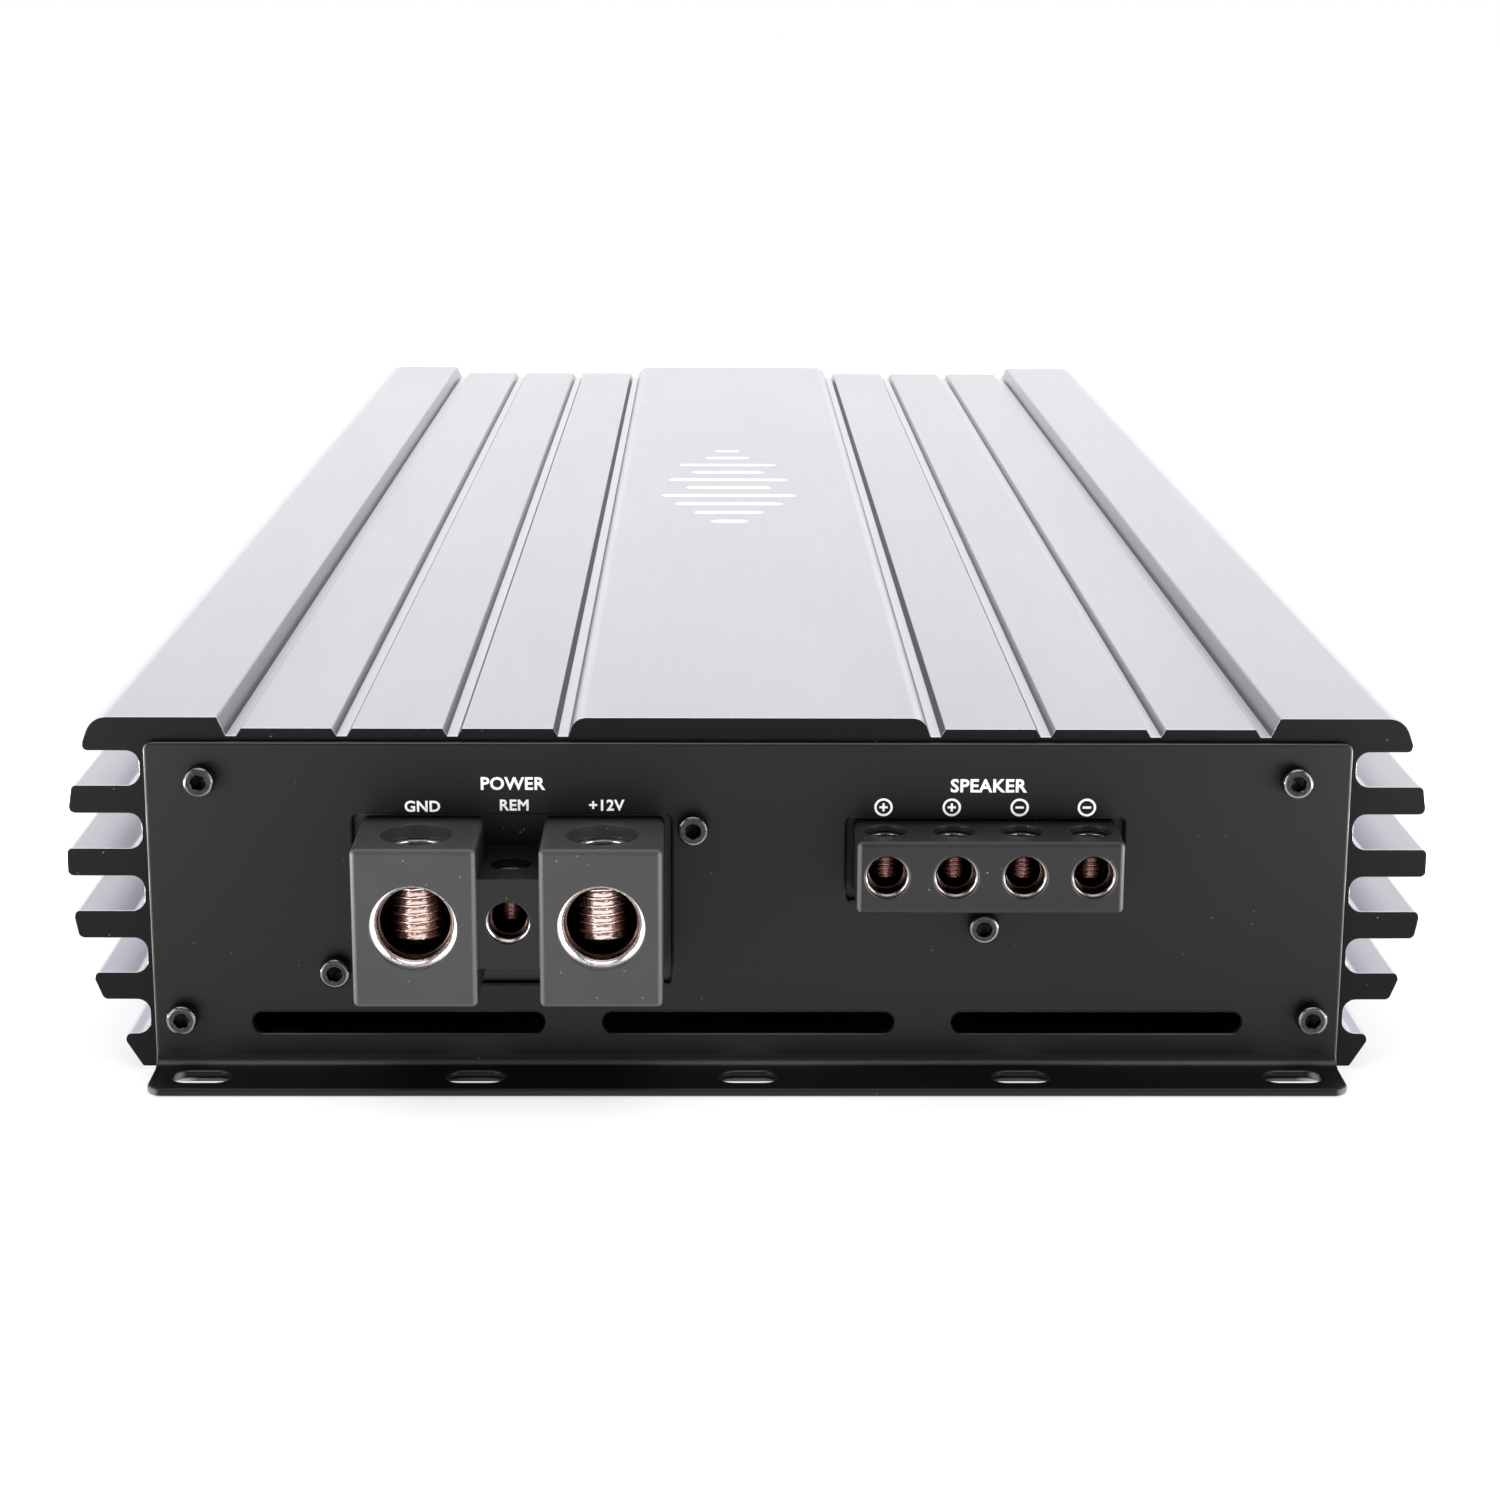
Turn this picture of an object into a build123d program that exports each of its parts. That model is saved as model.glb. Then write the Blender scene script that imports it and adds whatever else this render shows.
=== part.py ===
from build123d import *

import os
from math import sqrt
from typing import NamedTuple

# A large single-channel car amplifier: a finned extrusion closed by two bent end panels and a bottom cover.
# Millimetres. +Z is up, -Y is the power end, and the origin is under the middle of the whole object.

# ---- driving dimensions ---------------------------------------------------------------------------------

body_length = 500.0  # outer face to outer face of the two end panels
panel_thickness = 1.5
flange_reach = 12.0  # how far a mounting flange stands out from its panel
terminal_reach = 19.5  # how far the power terminals stand out from their panel

overall_length = terminal_reach + body_length + flange_reach
power_face = -overall_length / 2 + terminal_reach
signal_face = power_face + body_length
heatsink_start = power_face + panel_thickness
heatsink_end = signal_face - panel_thickness

# extrusion, right half
top_z = 65.3
band_z = 63.3
groove_z = 61.9
groove_pitch = 19.33
first_groove_x = 32.65
groove_count = 4
groove_half_floor = 0.9
groove_half_mouth = 1.75
plateau_gap = 2.05  # from the first groove's centre to the sharp corner of the middle band's rounded edge
plateau_radius = 3.0
cap_edge_x = 93.1
cap_corner_x = 115.0
cap_corner_radius = 4.1
cap_tip_x = 117.2
cap_under_z = 59.2
wall_x = 106.9
root_radius = 2.3
fin_top_z = 52.9
fin_pitch = 11.5
fin_thickness = 5.05
fin_count = 4
fin_tip_radius = 0.8
belly_x = 120.4
belly_z = 38.5
belly_radius_above = 75.0
belly_radius_below = 62.0
foot_z = 0.7
foot_tip = (112.6, 6.8)
foot_top_z = 7.0
foot_heel_x = 108.6
inner_wall_x = 101.0
ledge_x = 95.0
ledge_top_z = 14.8
boss_x = 92.0
boss_z = 50.5
ceiling_z = 56.5
inner_radius = 1.5
edge_radius = 0.5

# bottom cover
cover_half_width = 103.6
cover_gap = 0.3
cover_bottom_z = 1.5
cover_top_z = 3.5
cover_end_gap = 0.2
cover_screw_x = 98.5
cover_screw_places = [heatsink_start + 24.5 + 112.0 * n for n in range(5)]
cover_hole_top_z = 9.5

# holes in the extrusion
corner_hole_depth = 14.0
clamp_screw_z = 32.0
clamp_screw_places = [power_face + 118.0 + 85.0 * n for n in range(4)]
clamp_hole_depth = 4.4

# end panels
panel_half_width = 105.9
panel_top_z = 61.1
panel_corner_radius = 1.5
bend_radius = 3.6
flange_corner_radius = 3.0
flange_slot_length = 10.45
flange_slot_width = 5.6
flange_slot_pitch = 48.4
flange_slot_out = 5.85
vent_length = 52.0
vent_height = 3.95
vent_pitch = 62.4
vent_z = 9.4
corner_screws = [(-95.95, 54.5), (95.95, 54.5), (-100.65, 10.75), (100.65, 10.75)]
power_cutout = ((-69.6, -13.75), (16.85, 47.9))
speaker_cutout = ((17.2, 66.1), (32.3, 47.5))
cutout_corner_radius = 1.0

# M3 socket cap screw
m3_radius = 1.5
m3_port_radius = 1.55
m3_hole_radius = 1.7
m3_head_radius = 2.73
m3_head_height = 3.0
m3_head_edge = 0.35
m3_key = 2.5
m3_key_depth = 1.6
m3_countersunk_radius = 2.9
m3_countersunk_depth = 1.6

# power and speaker terminal mouldings
power_block_z = (19.1, 47.3)
ground_block_x = (-68.0, -46.65)
battery_block_x = (-36.0, -14.95)
remote_block_z = (25.8, 41.8)
remote_reach = 18.5
power_plate = ((-78.0, -5.2), (14.8, 48.2))
power_housing_screws = [(-73.25, 19.5), (-9.85, 45.8)]
speaker_block_x = (18.45, 64.65)
speaker_block_z = (33.9, 46.85)
speaker_reach = 13.0
speaker_plate = ((15.2, 68.0), (23.4, 47.9))
speaker_housing_screws = [(41.6, 27.9)]
plate_depth = 3.0
moulding_radius = 1.0
bridge_overlap = 1.5
plate_overlap = 0.5
pocket_gap = 0.05

# main board, hung under the ceiling
board_bottom_z = 48.4
board_top_z = 50.0
board_half_width = 99.5
board_inset = 4.5

# signal end
socket_z = 36.0
rca_places = [-88.0, -72.0, -56.0, -40.0]
rca_reach = 9.0
rca_depth = 9.0
rca_hole_radius = 4.75
rca_seat_radius = 4.4  # the shell inside the panel; only the barrel outside it takes a plug
rca_barrel_radius = 4.15
rca_bore_radius = 3.6
rca_contact_radius = 1.75
rca_pin_radius = 1.3
remote_jack_x = -20.0
jack_window = (5.6, 4.4)  # half width and half height
knob_places = {"level_knob": 0.0, "low_pass_knob": 18.0, "subsonic_knob": 36.0, "bass_boost_knob": 54.0}
knob_reach = 5.0
knob_radius = 3.0
knob_gap = 0.6
knob_back = 2.2  # how far the knob and its shaft go inside the panel
shaft_back = 9.8
pot_shaft_radius = 1.5
pot_half_width = 4.9
switch_places = {"mode_slider": 72.0, "phase_slider": 88.0}
switch_travel = 3.0
switch_window = (3.6, 1.6)
slider_reach = 1.6
lamp_places = [-6.0, 6.0]
lamp_z = 45.2
lamp_radius = 1.5
lamp_hole_radius = 1.7
lamp_reach = 0.9
preamp_bottom_z = 26.0
preamp_top_z = 27.6
preamp_half_width = 95.0
preamp_length = 52.0


class Terminal(NamedTuple):
    """One metal wire terminal. Distances called out are measured outwards from the power panel."""

    x: float
    half_width: float
    bottom: float
    top: float
    front_out: float
    tail: float
    bore_z: float
    mouth_radius: float
    lead_in: float  # depth and width of the chamfer at the mouth
    mouth_end_out: float
    clamp_radius: float
    screw_out: float
    thread_radius: float
    tip_z: float
    screw_length: float
    key: float
    leg_half_width: float
    front_wall: float  # the moulding in front of the terminal, and its wire and screw holes
    wire_hole_radius: float
    screw_hole_radius: float


power_shape = dict(half_width=9.0, bottom=20.6, top=44.8, front_out=18.0, tail=12.0, bore_z=33.4,
                   mouth_radius=6.45, lead_in=0.75, mouth_end_out=15.3, clamp_radius=6.2, screw_out=10.0,
                   thread_radius=5.0, tip_z=28.0, screw_length=14.0, key=5.0, leg_half_width=7.0,
                   front_wall=1.5, wire_hole_radius=7.5, screw_hole_radius=6.25)
remote_shape = dict(half_width=4.0, bottom=27.2, top=40.3, front_out=17.4, tail=9.0, bore_z=34.0,
                    mouth_radius=3.25, lead_in=0.5, mouth_end_out=14.6, clamp_radius=3.0, screw_out=9.2,
                    thread_radius=2.5, tip_z=31.65, screw_length=8.0, key=2.5, leg_half_width=1.0,
                    front_wall=1.1, wire_hole_radius=3.75, screw_hole_radius=3.6)
speaker_shape = dict(half_width=4.6, bottom=35.2, top=45.6, front_out=12.2, tail=9.0, bore_z=40.55,
                     mouth_radius=3.25, lead_in=0.4, mouth_end_out=8.6, clamp_radius=3.0, screw_out=5.6,
                     thread_radius=2.5, tip_z=38.2, screw_length=6.0, key=2.5, leg_half_width=1.0,
                     front_wall=0.8, wire_hole_radius=3.75, screw_hole_radius=3.65)

power_terminals = {
    "ground": Terminal(x=-57.45, **power_shape),
    "battery": Terminal(x=-25.4, **power_shape),
    "remote": Terminal(x=-41.35, **remote_shape),
}
speaker_terminals = {f"speaker_{n + 1}": Terminal(x=23.7 + 11.9 * n, **speaker_shape) for n in range(4)}
bore_tail = 1.5  # how far a wire bore goes on behind the panel's face
leg_depth = 3.0
bus_bar_length = 34.0
bus_bar_thickness = 2.5


# ---- shapes used throughout -----------------------------------------------------------------------------

def block(x, y, z):
    """Box between (low, high) pairs."""
    centre = [(low + high) / 2 for low, high in (x, y, z)]
    size = [high - low for low, high in (x, y, z)]
    return Pos(*centre) * Box(*size)


def spread(centre, half):
    """(low, high) pair about a centre."""
    return (centre - half, centre + half)


def rod_x(y, z, radius, reach):
    return Pos(sum(reach) / 2, y, z) * Rot(0, 90, 0) * Cylinder(radius, abs(reach[1] - reach[0]))


def rod_y(x, z, radius, reach):
    return Pos(x, sum(reach) / 2, z) * Rot(90, 0, 0) * Cylinder(radius, abs(reach[1] - reach[0]))


def rod_z(x, y, radius, reach):
    return Pos(x, y, sum(reach) / 2) * Cylinder(radius, abs(reach[1] - reach[0]))


def funnel_y(x, z, front_radius, back_radius, reach):
    """Cone along +Y from the first radius to the second."""
    cone = Cone(front_radius, back_radius, reach[1] - reach[0])
    return Pos(x, sum(reach) / 2, z) * Rot(-90, 0, 0) * cone


def hexagon(across_flats, height):
    """Hexagonal prism standing on the XY plane."""
    return extrude(RegularPolygon(across_flats / 2, 6, major_radius=False), height)


def ring(outer, inner, height):
    """Flat-sided ring, centred, with its axis along Z."""
    return Cylinder(outer, height) - Cylinder(inner, height)


def rounded(shape, radius):
    return fillet(shape.edges(), radius)


def outline(points):
    """Face from (u, v, corner radius) points."""
    line = FilletPolyline([(u, v) for u, v, _ in points], radius=[r for _, _, r in points], close=True)
    return make_face(line)


def along_y(face, start, end):
    """Extrude an X-Z outline from one Y to another."""
    plane = Plane(origin=(0, end, 0), x_dir=(1, 0, 0), z_dir=(0, -1, 0))
    return extrude(plane * face, end - start)


def group(shapes):
    """Separate identical pieces kept in one node."""
    return Compound([solid for shape in shapes for solid in shape.solids()])


def cap_screw(length):
    """M3 socket cap screw: head standing on the XY plane, shank pointing down."""
    head = rod_z(0, 0, m3_head_radius, (0, m3_head_height))
    rim = head.edges().group_by(Axis.Z)[-1]
    head = fillet(rim, m3_head_edge)
    shank = rod_z(0, 0, m3_radius, (-length, 0))
    socket = Pos(0, 0, m3_head_height - m3_key_depth) * hexagon(m3_key, m3_head_height)
    return head + shank - socket


def countersunk_screw(length):
    """M3 countersunk screw: flat head flush with the XY plane, shank pointing down."""
    head = Pos(0, 0, -m3_countersunk_depth / 2) * Cone(m3_radius, m3_countersunk_radius, m3_countersunk_depth)
    shank = rod_z(0, 0, m3_radius, (-length, -1))
    drive = Pos(0, 0, -1) * hexagon(2.0, 2)
    return head + shank - drive


def power_side(x, z):
    """Location on the power panel's outer face, with local +Z pointing outwards."""
    return Pos(x, power_face, z) * Rot(90, 0, 0)


def signal_side(x, z):
    """Location on the signal panel's outer face, with local +Z pointing outwards."""
    return Pos(x, signal_face, z) * Rot(-90, 0, 0)


# ---- extrusion ------------------------------------------------------------------------------------------

def belly(z):
    """Half width of the fins at height z: two arcs that meet at the widest point."""
    radius = belly_radius_above if z > belly_z else belly_radius_below
    return belly_x - radius + sqrt(radius**2 - (z - belly_z) ** 2)


def groove_points():
    """The four grooves between the middle band, the flat bands and the cap, from the centre outwards."""
    points = []
    for number in range(groove_count):
        centre = first_groove_x + groove_pitch * number
        if number == 0:
            points.append((centre - plateau_gap, top_z, plateau_radius))
        else:
            points.append((centre - groove_half_mouth, band_z, 0.3))
        points.append((centre - groove_half_floor, groove_z, 0.1))
        points.append((centre + groove_half_floor, groove_z, 0.1))
        if number < groove_count - 1:
            points.append((centre + groove_half_mouth, band_z, 0.3))
    points.append((cap_edge_x, top_z, edge_radius))
    return points


def fin_points():
    """The four fins and the chevron foot, from the cap downwards."""
    points = [(wall_x, cap_under_z, root_radius)]
    for number in range(fin_count):
        top = fin_top_z - fin_pitch * number
        bottom = top - fin_thickness
        points.append((wall_x, top, root_radius))
        points.append((belly(top), top, fin_tip_radius))
        points.append((belly(bottom), bottom, fin_tip_radius))
        points.append((wall_x, bottom, root_radius))
    points.append((wall_x, foot_top_z, root_radius))
    points.append((*foot_tip, 1.0))
    points.append((foot_heel_x, foot_z, edge_radius))
    return points


def inner_points():
    """Pocket for the cover, screw ledge, side wall, screw boss and ceiling."""
    pocket_x = cover_half_width + cover_gap
    return [
        (pocket_x, foot_z, 0.2),
        (pocket_x, cover_top_z, 0.2),
        (ledge_x, cover_top_z, edge_radius),
        (ledge_x, ledge_top_z, 1.0),
        (inner_wall_x, ledge_top_z, inner_radius),
        (inner_wall_x, boss_z, inner_radius),
        (boss_x, boss_z, 1.0),
        (boss_x, ceiling_z, inner_radius),
    ]


def make_heatsink():
    right = groove_points()
    right.append((cap_corner_x, top_z, cap_corner_radius))
    right.append((cap_tip_x, cap_under_z, 1.0))
    right += fin_points() + inner_points()
    left = [(-x, z, r) for x, z, r in reversed(right)]
    extrusion = along_y(outline(right + left), heatsink_start, heatsink_end)
    for x, z in corner_screws:
        extrusion -= rod_y(x, z, m3_port_radius, (heatsink_start - 1, heatsink_start + corner_hole_depth))
        extrusion -= rod_y(x, z, m3_port_radius, (heatsink_end - corner_hole_depth, heatsink_end + 1))
    for side in (-1, 1):
        for y in cover_screw_places:
            extrusion -= rod_z(side * cover_screw_x, y, m3_port_radius, (0, cover_hole_top_z))
        for y in clamp_screw_places:
            ends = sorted((side * (inner_wall_x - 1), side * (inner_wall_x + clamp_hole_depth)))
            extrusion -= rod_x(y, clamp_screw_z, m3_port_radius, ends)
    return extrusion


def make_bottom_cover():
    reach = (heatsink_start + cover_end_gap, heatsink_end - cover_end_gap)
    cover = block((-cover_half_width, cover_half_width), reach, (cover_bottom_z, cover_top_z))
    sink_radius = m3_countersunk_radius + 0.2
    sink_depth = sink_radius - m3_hole_radius
    for side in (-1, 1):
        for y in cover_screw_places:
            cover -= rod_z(side * cover_screw_x, y, m3_hole_radius, (0, cover_top_z + 1))
            sink = Cone(sink_radius, m3_hole_radius, sink_depth)
            cover -= Pos(side * cover_screw_x, y, cover_bottom_z + sink_depth / 2) * sink
    return cover


# ---- end panels -----------------------------------------------------------------------------------------

def through(face):
    """Y range that goes through an upright panel."""
    return (face - 2 * panel_thickness, face + 2 * panel_thickness)


def bent_plate(face, out):
    """Upright plate with a bottom flange. out is -1 where the flange points to -Y, and 1 where to +Y."""
    inner = face - out * panel_thickness
    tip = face + out * flange_reach
    corners = [
        (inner, panel_top_z, 0.0),
        (inner, 0.0, bend_radius),
        (tip, 0.0, 0.0),
        (tip, panel_thickness, 0.0),
        (face, panel_thickness, bend_radius - panel_thickness),
        (face, panel_top_z, 0.0),
    ]
    side = Plane(origin=(-panel_half_width, 0, 0), x_dir=(0, 1, 0), z_dir=(1, 0, 0))
    plate = extrude(side * outline(corners), 2 * panel_half_width)
    upright = plate.edges().filter_by(Axis.Y).group_by(Axis.Z)[-1]
    plate = fillet(upright, panel_corner_radius)
    flange_corners = plate.edges().filter_by(Axis.Z).sort_by(Axis.Y)
    flange_corners = flange_corners[:2] if out < 0 else flange_corners[-2:]
    plate = fillet(flange_corners, flange_corner_radius)
    for number in range(-2, 3):
        slot = extrude(SlotOverall(flange_slot_length, flange_slot_width), panel_thickness + 2)
        plate -= Pos(number * flange_slot_pitch, face + out * flange_slot_out, -1) * slot
    for number in range(-1, 2):
        vent = along_y(SlotOverall(vent_length, vent_height), *through(face))
        plate -= Pos(number * vent_pitch, 0, vent_z) * vent
    for x, z in corner_screws:
        plate -= rod_y(x, z, m3_hole_radius, through(face))
    return plate


def make_power_end_panel():
    plate = bent_plate(power_face, -1)
    for x, z in (power_cutout, speaker_cutout):
        opening = block(x, through(power_face), z)
        plate -= fillet(opening.edges().filter_by(Axis.Y), cutout_corner_radius)
    for x, z in power_housing_screws + speaker_housing_screws:
        plate -= rod_y(x, z, m3_hole_radius, through(power_face))
    return plate


def make_signal_end_panel():
    plate = bent_plate(signal_face, 1)
    depth = through(signal_face)
    for x in rca_places:
        plate -= rod_y(x, socket_z, rca_hole_radius, depth)
    plate -= block(spread(remote_jack_x, jack_window[0]), depth, spread(socket_z, jack_window[1]))
    for x in knob_places.values():
        plate -= rod_y(x, socket_z, knob_radius + knob_gap, depth)
    for x in switch_places.values():
        plate -= block(spread(x, switch_window[0]), depth, spread(socket_z, switch_window[1]))
    for x in lamp_places:
        plate -= rod_y(x, lamp_z, lamp_hole_radius, depth)
    return plate


def make_corner_screws(place):
    return group([place(x, z) * cap_screw(10.0) for x, z in corner_screws])


# ---- terminals ------------------------------------------------------------------------------------------

housing_rear = heatsink_start + plate_depth


def cut_for(moulding, terminals, screw_places):
    """Open a moulding's pockets, wire holes and screw holes for its terminals, and its fixing holes."""
    for terminal in terminals:
        front = power_face - terminal.front_out
        heights = (terminal.bottom - pocket_gap, terminal.top + pocket_gap)
        sides = spread(terminal.x, terminal.half_width + pocket_gap)
        moulding -= block(sides, (front - pocket_gap, housing_rear + 1), heights)
        wire_hole = (front - terminal.front_wall - 1, front)
        moulding -= rod_y(terminal.x, terminal.bore_z, terminal.wire_hole_radius, wire_hole)
        screw_y = power_face - terminal.screw_out
        screw_hole = (terminal.top - 1, terminal.top + 4)
        moulding -= rod_z(terminal.x, screw_y, terminal.screw_hole_radius, screw_hole)
    for x, z in screw_places:
        moulding -= rod_y(x, z, m3_port_radius, (heatsink_start - 1, housing_rear + 1))
    return moulding


def terminal_block(x, reach, z):
    """Rounded block that stands out of the panel by this reach."""
    return rounded(block(x, (power_face - reach, housing_rear - plate_overlap), z), moulding_radius)


def make_power_terminal_housing():
    moulding = terminal_block(ground_block_x, terminal_reach, power_block_z)
    moulding += terminal_block(battery_block_x, terminal_reach, power_block_z)
    bridge_x = (ground_block_x[1] - bridge_overlap, battery_block_x[0] + bridge_overlap)
    bridge_y = (power_face - remote_reach, housing_rear - plate_overlap)
    moulding += block(bridge_x, bridge_y, remote_block_z)
    moulding += block(power_plate[0], (heatsink_start, housing_rear), power_plate[1])
    return cut_for(moulding, power_terminals.values(), power_housing_screws)


def make_speaker_terminal_housing():
    moulding = terminal_block(speaker_block_x, speaker_reach, speaker_block_z)
    moulding += block(speaker_plate[0], (heatsink_start, housing_rear), speaker_plate[1])
    return cut_for(moulding, speaker_terminals.values(), speaker_housing_screws)


def make_terminal_body(terminal):
    """Plated block with a stepped wire bore, a screw hole from above and a leg up to the board."""
    front = power_face - terminal.front_out
    mouth_end = power_face - terminal.mouth_end_out
    back = power_face + terminal.tail
    bore = (terminal.x, terminal.bore_z)
    body = block(spread(terminal.x, terminal.half_width), (front, back), (terminal.bottom, terminal.top))
    body -= rod_y(*bore, terminal.mouth_radius, (front - 1, mouth_end))
    body -= rod_y(*bore, terminal.clamp_radius, (mouth_end - 1, power_face + bore_tail))
    widest = terminal.mouth_radius + terminal.lead_in
    body -= funnel_y(*bore, widest, terminal.mouth_radius, (front, front + terminal.lead_in))
    screw_y = power_face - terminal.screw_out
    body -= rod_z(terminal.x, screw_y, terminal.thread_radius, (terminal.bore_z, terminal.top + 1))
    leg_sides = spread(terminal.x, terminal.leg_half_width)
    return body + block(leg_sides, (back - leg_depth, back), (terminal.top - 1, board_bottom_z))


def make_set_screw(terminal):
    """Hexagon socket set screw with a chamfered point, screwed down on the wire bore's floor."""
    radius = terminal.thread_radius - 0.05
    point = 0.5 * radius
    taper = 0.4 * radius
    length = terminal.screw_length
    screw = Pos(0, 0, taper / 2) * Cone(point, radius, taper)
    screw += Pos(0, 0, (taper + length) / 2) * Cylinder(radius, length - taper)
    top_edge = screw.edges().group_by(Axis.Z)[-1]
    screw = chamfer(top_edge, 0.12 * radius)
    depth = terminal.key
    screw -= Pos(0, 0, length - depth) * hexagon(terminal.key, depth + 1)
    return Pos(terminal.x, power_face - terminal.screw_out, terminal.tip_z) * screw


def make_terminal_screws():
    places = power_housing_screws + speaker_housing_screws
    return group([power_side(x, z) * cap_screw(8.0) for x, z in places])


def make_bus_bar(terminal):
    """Copper bar from a power terminal's tail to the underside of the board."""
    sides = spread(terminal.x, terminal.leg_half_width)
    start = power_face + terminal.tail
    low = board_bottom_z - bus_bar_thickness
    foot = block(sides, (start, start + bus_bar_thickness), (terminal.bore_z, board_bottom_z))
    return foot + block(sides, (start, start + bus_bar_length), (low, board_bottom_z))


# ---- signal end -----------------------------------------------------------------------------------------

def make_rca_housing():
    sides = (rca_places[0] - 7.0, rca_places[-1] + 7.0)
    back = heatsink_end - rca_depth - 4.0
    housing = block(sides, (back, heatsink_end), (preamp_top_z, socket_z + 8.0))
    for x in rca_places:
        seat = (heatsink_end - rca_depth, heatsink_end + 1)
        housing -= rod_y(x, socket_z, rca_seat_radius + pocket_gap, seat)
        housing -= rod_y(x, socket_z, rca_contact_radius, (back - 1, heatsink_end))
    return housing


def make_rca_shells():
    """Turned outer contacts. The part inside the panel is thicker than the barrel that a plug goes over."""
    shells = []
    tip = signal_face + rca_reach
    for x in rca_places:
        shell = rod_y(x, socket_z, rca_seat_radius, (heatsink_end - rca_depth, signal_face))
        shell += rod_y(x, socket_z, rca_barrel_radius, (signal_face - 1, tip))
        shell -= rod_y(x, socket_z, rca_bore_radius, (heatsink_end - rca_depth - 1, tip + 1))
        shells.append(shell)
    return group(shells)


def make_rca_insulators():
    rings = []
    tip = signal_face + rca_reach
    for x in rca_places:
        collar = rod_y(x, socket_z, rca_bore_radius, (heatsink_end - rca_depth, tip - 1.5))
        rings.append(collar - rod_y(x, socket_z, rca_contact_radius, (heatsink_end - rca_depth - 1, tip)))
    return group(rings)


def make_rca_contacts():
    contacts = []
    tip = signal_face + rca_reach
    for x in rca_places:
        contact = rod_y(x, socket_z, rca_contact_radius, (heatsink_end - rca_depth - 4.0, tip - 2.0))
        contacts.append(contact - rod_y(x, socket_z, rca_pin_radius, (signal_face - 6.0, tip)))
    return group(contacts)


def make_remote_jack():
    """Modular socket: a case, its opening and the channel for the plug's latch."""
    case = (heatsink_end - 15.0, heatsink_end)
    jack = block(spread(remote_jack_x, 6.5), case, (preamp_top_z, socket_z + 6.0))
    cavity = (heatsink_end - 12.5, heatsink_end + 1)
    jack -= block(spread(remote_jack_x, 4.9), cavity, (socket_z - 3.6, socket_z + 3.2))
    jack -= block(spread(remote_jack_x, 2.0), cavity, (socket_z - 5.2, socket_z - 3.5))
    return jack


def make_potentiometer_bodies():
    pots = []
    for x in knob_places.values():
        case = (heatsink_end - 11.5, heatsink_end - 5.0)
        pot = block(spread(x, pot_half_width), case, (preamp_top_z, socket_z + pot_half_width))
        pot += rod_y(x, socket_z, 2.6, (case[1] - 0.5, heatsink_end - 2.6))
        pots.append(pot - rod_y(x, socket_z, pot_shaft_radius + pocket_gap, (case[0] + 1.5, heatsink_end)))
    return group(pots)


def make_knob(x):
    """Moulded knob on its shaft, with a pointer slot across the face."""
    tip = signal_face + knob_reach
    knob = rod_y(x, socket_z, knob_radius, (heatsink_end - knob_back, tip))
    knob = fillet(knob.edges().group_by(Axis.Y)[-1], 0.4)
    knob += rod_y(x, socket_z, pot_shaft_radius, (heatsink_end - shaft_back, heatsink_end - knob_back + 0.2))
    return knob - block(spread(x, 0.4), (tip - 0.8, tip + 1), (socket_z - 0.5, socket_z + knob_radius + 0.5))


def make_slide_switch_bodies():
    """Open-fronted cases on the board, each with a slot for its slider."""
    cases = []
    for x in switch_places.values():
        case = block(spread(x, 6.0), (heatsink_end - 8.0, heatsink_end - 0.5), (preamp_top_z, socket_z + 3))
        case -= block(spread(x, 5.0), (heatsink_end - 6.5, heatsink_end - 2.0), spread(socket_z, 1.9))
        cases.append(case - block(spread(x, 3.4), (heatsink_end - 3.0, heatsink_end), spread(socket_z, 1.4)))
    return group(cases)


def make_slider(x):
    """Slider at the left end of its travel."""
    at_rest = x - switch_travel / 2
    base = (heatsink_end - 5.0, heatsink_end - 2.4)
    nub = (base[0] + 2.0, signal_face + slider_reach)
    slider = block(spread(at_rest, 3.0), base, spread(socket_z, 1.6))
    return slider + block(spread(at_rest, 1.4), nub, spread(socket_z, 1.1))


def make_status_lights():
    lights = []
    for x in lamp_places:
        lamp = rod_y(x, lamp_z, lamp_radius, (heatsink_end - 5.0, signal_face + lamp_reach))
        lamp = fillet(lamp.edges().group_by(Axis.Y)[-1], 0.7)
        stem = (heatsink_end - 6.5, heatsink_end - 5.0)
        lights.append(lamp + block(spread(x, 1.2), stem, (lamp_z - 1.2, board_bottom_z)))
    return group(lights)


preamp_standoffs = [(-62.0, heatsink_end - 46.0), (62.0, heatsink_end - 46.0)]


def make_preamp_board():
    sides = (-preamp_half_width, preamp_half_width)
    reach = (heatsink_end - preamp_length, heatsink_end - 0.5)
    board = block(sides, reach, (preamp_bottom_z, preamp_top_z))
    for x, y in preamp_standoffs:
        board -= rod_z(x, y, m3_hole_radius, (preamp_bottom_z - 1, preamp_top_z + 1))
    return board


def make_preamp_header():
    return block((-25.0, 25.0), (heatsink_end - 46.0, heatsink_end - 41.0), (preamp_top_z, board_bottom_z))


def make_preamp_chips():
    """Op-amp packages on the preamplifier board."""
    chips = []
    for number in range(6):
        sides = spread(-70.0 + 28.0 * number, 5.0)
        reach = spread(heatsink_end - 31.0, 3.0)
        chips.append(block(sides, reach, (preamp_top_z, preamp_top_z + 3.2)))
    return group(chips)


# ---- main board and what hangs from it ------------------------------------------------------------------

standoff_places = [(x, power_face + y) for x in (-80.0, 0.0, 80.0) for y in (26.0, 172.0, 300.0, 474.0)]
standoff_flats = 5.5


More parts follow.
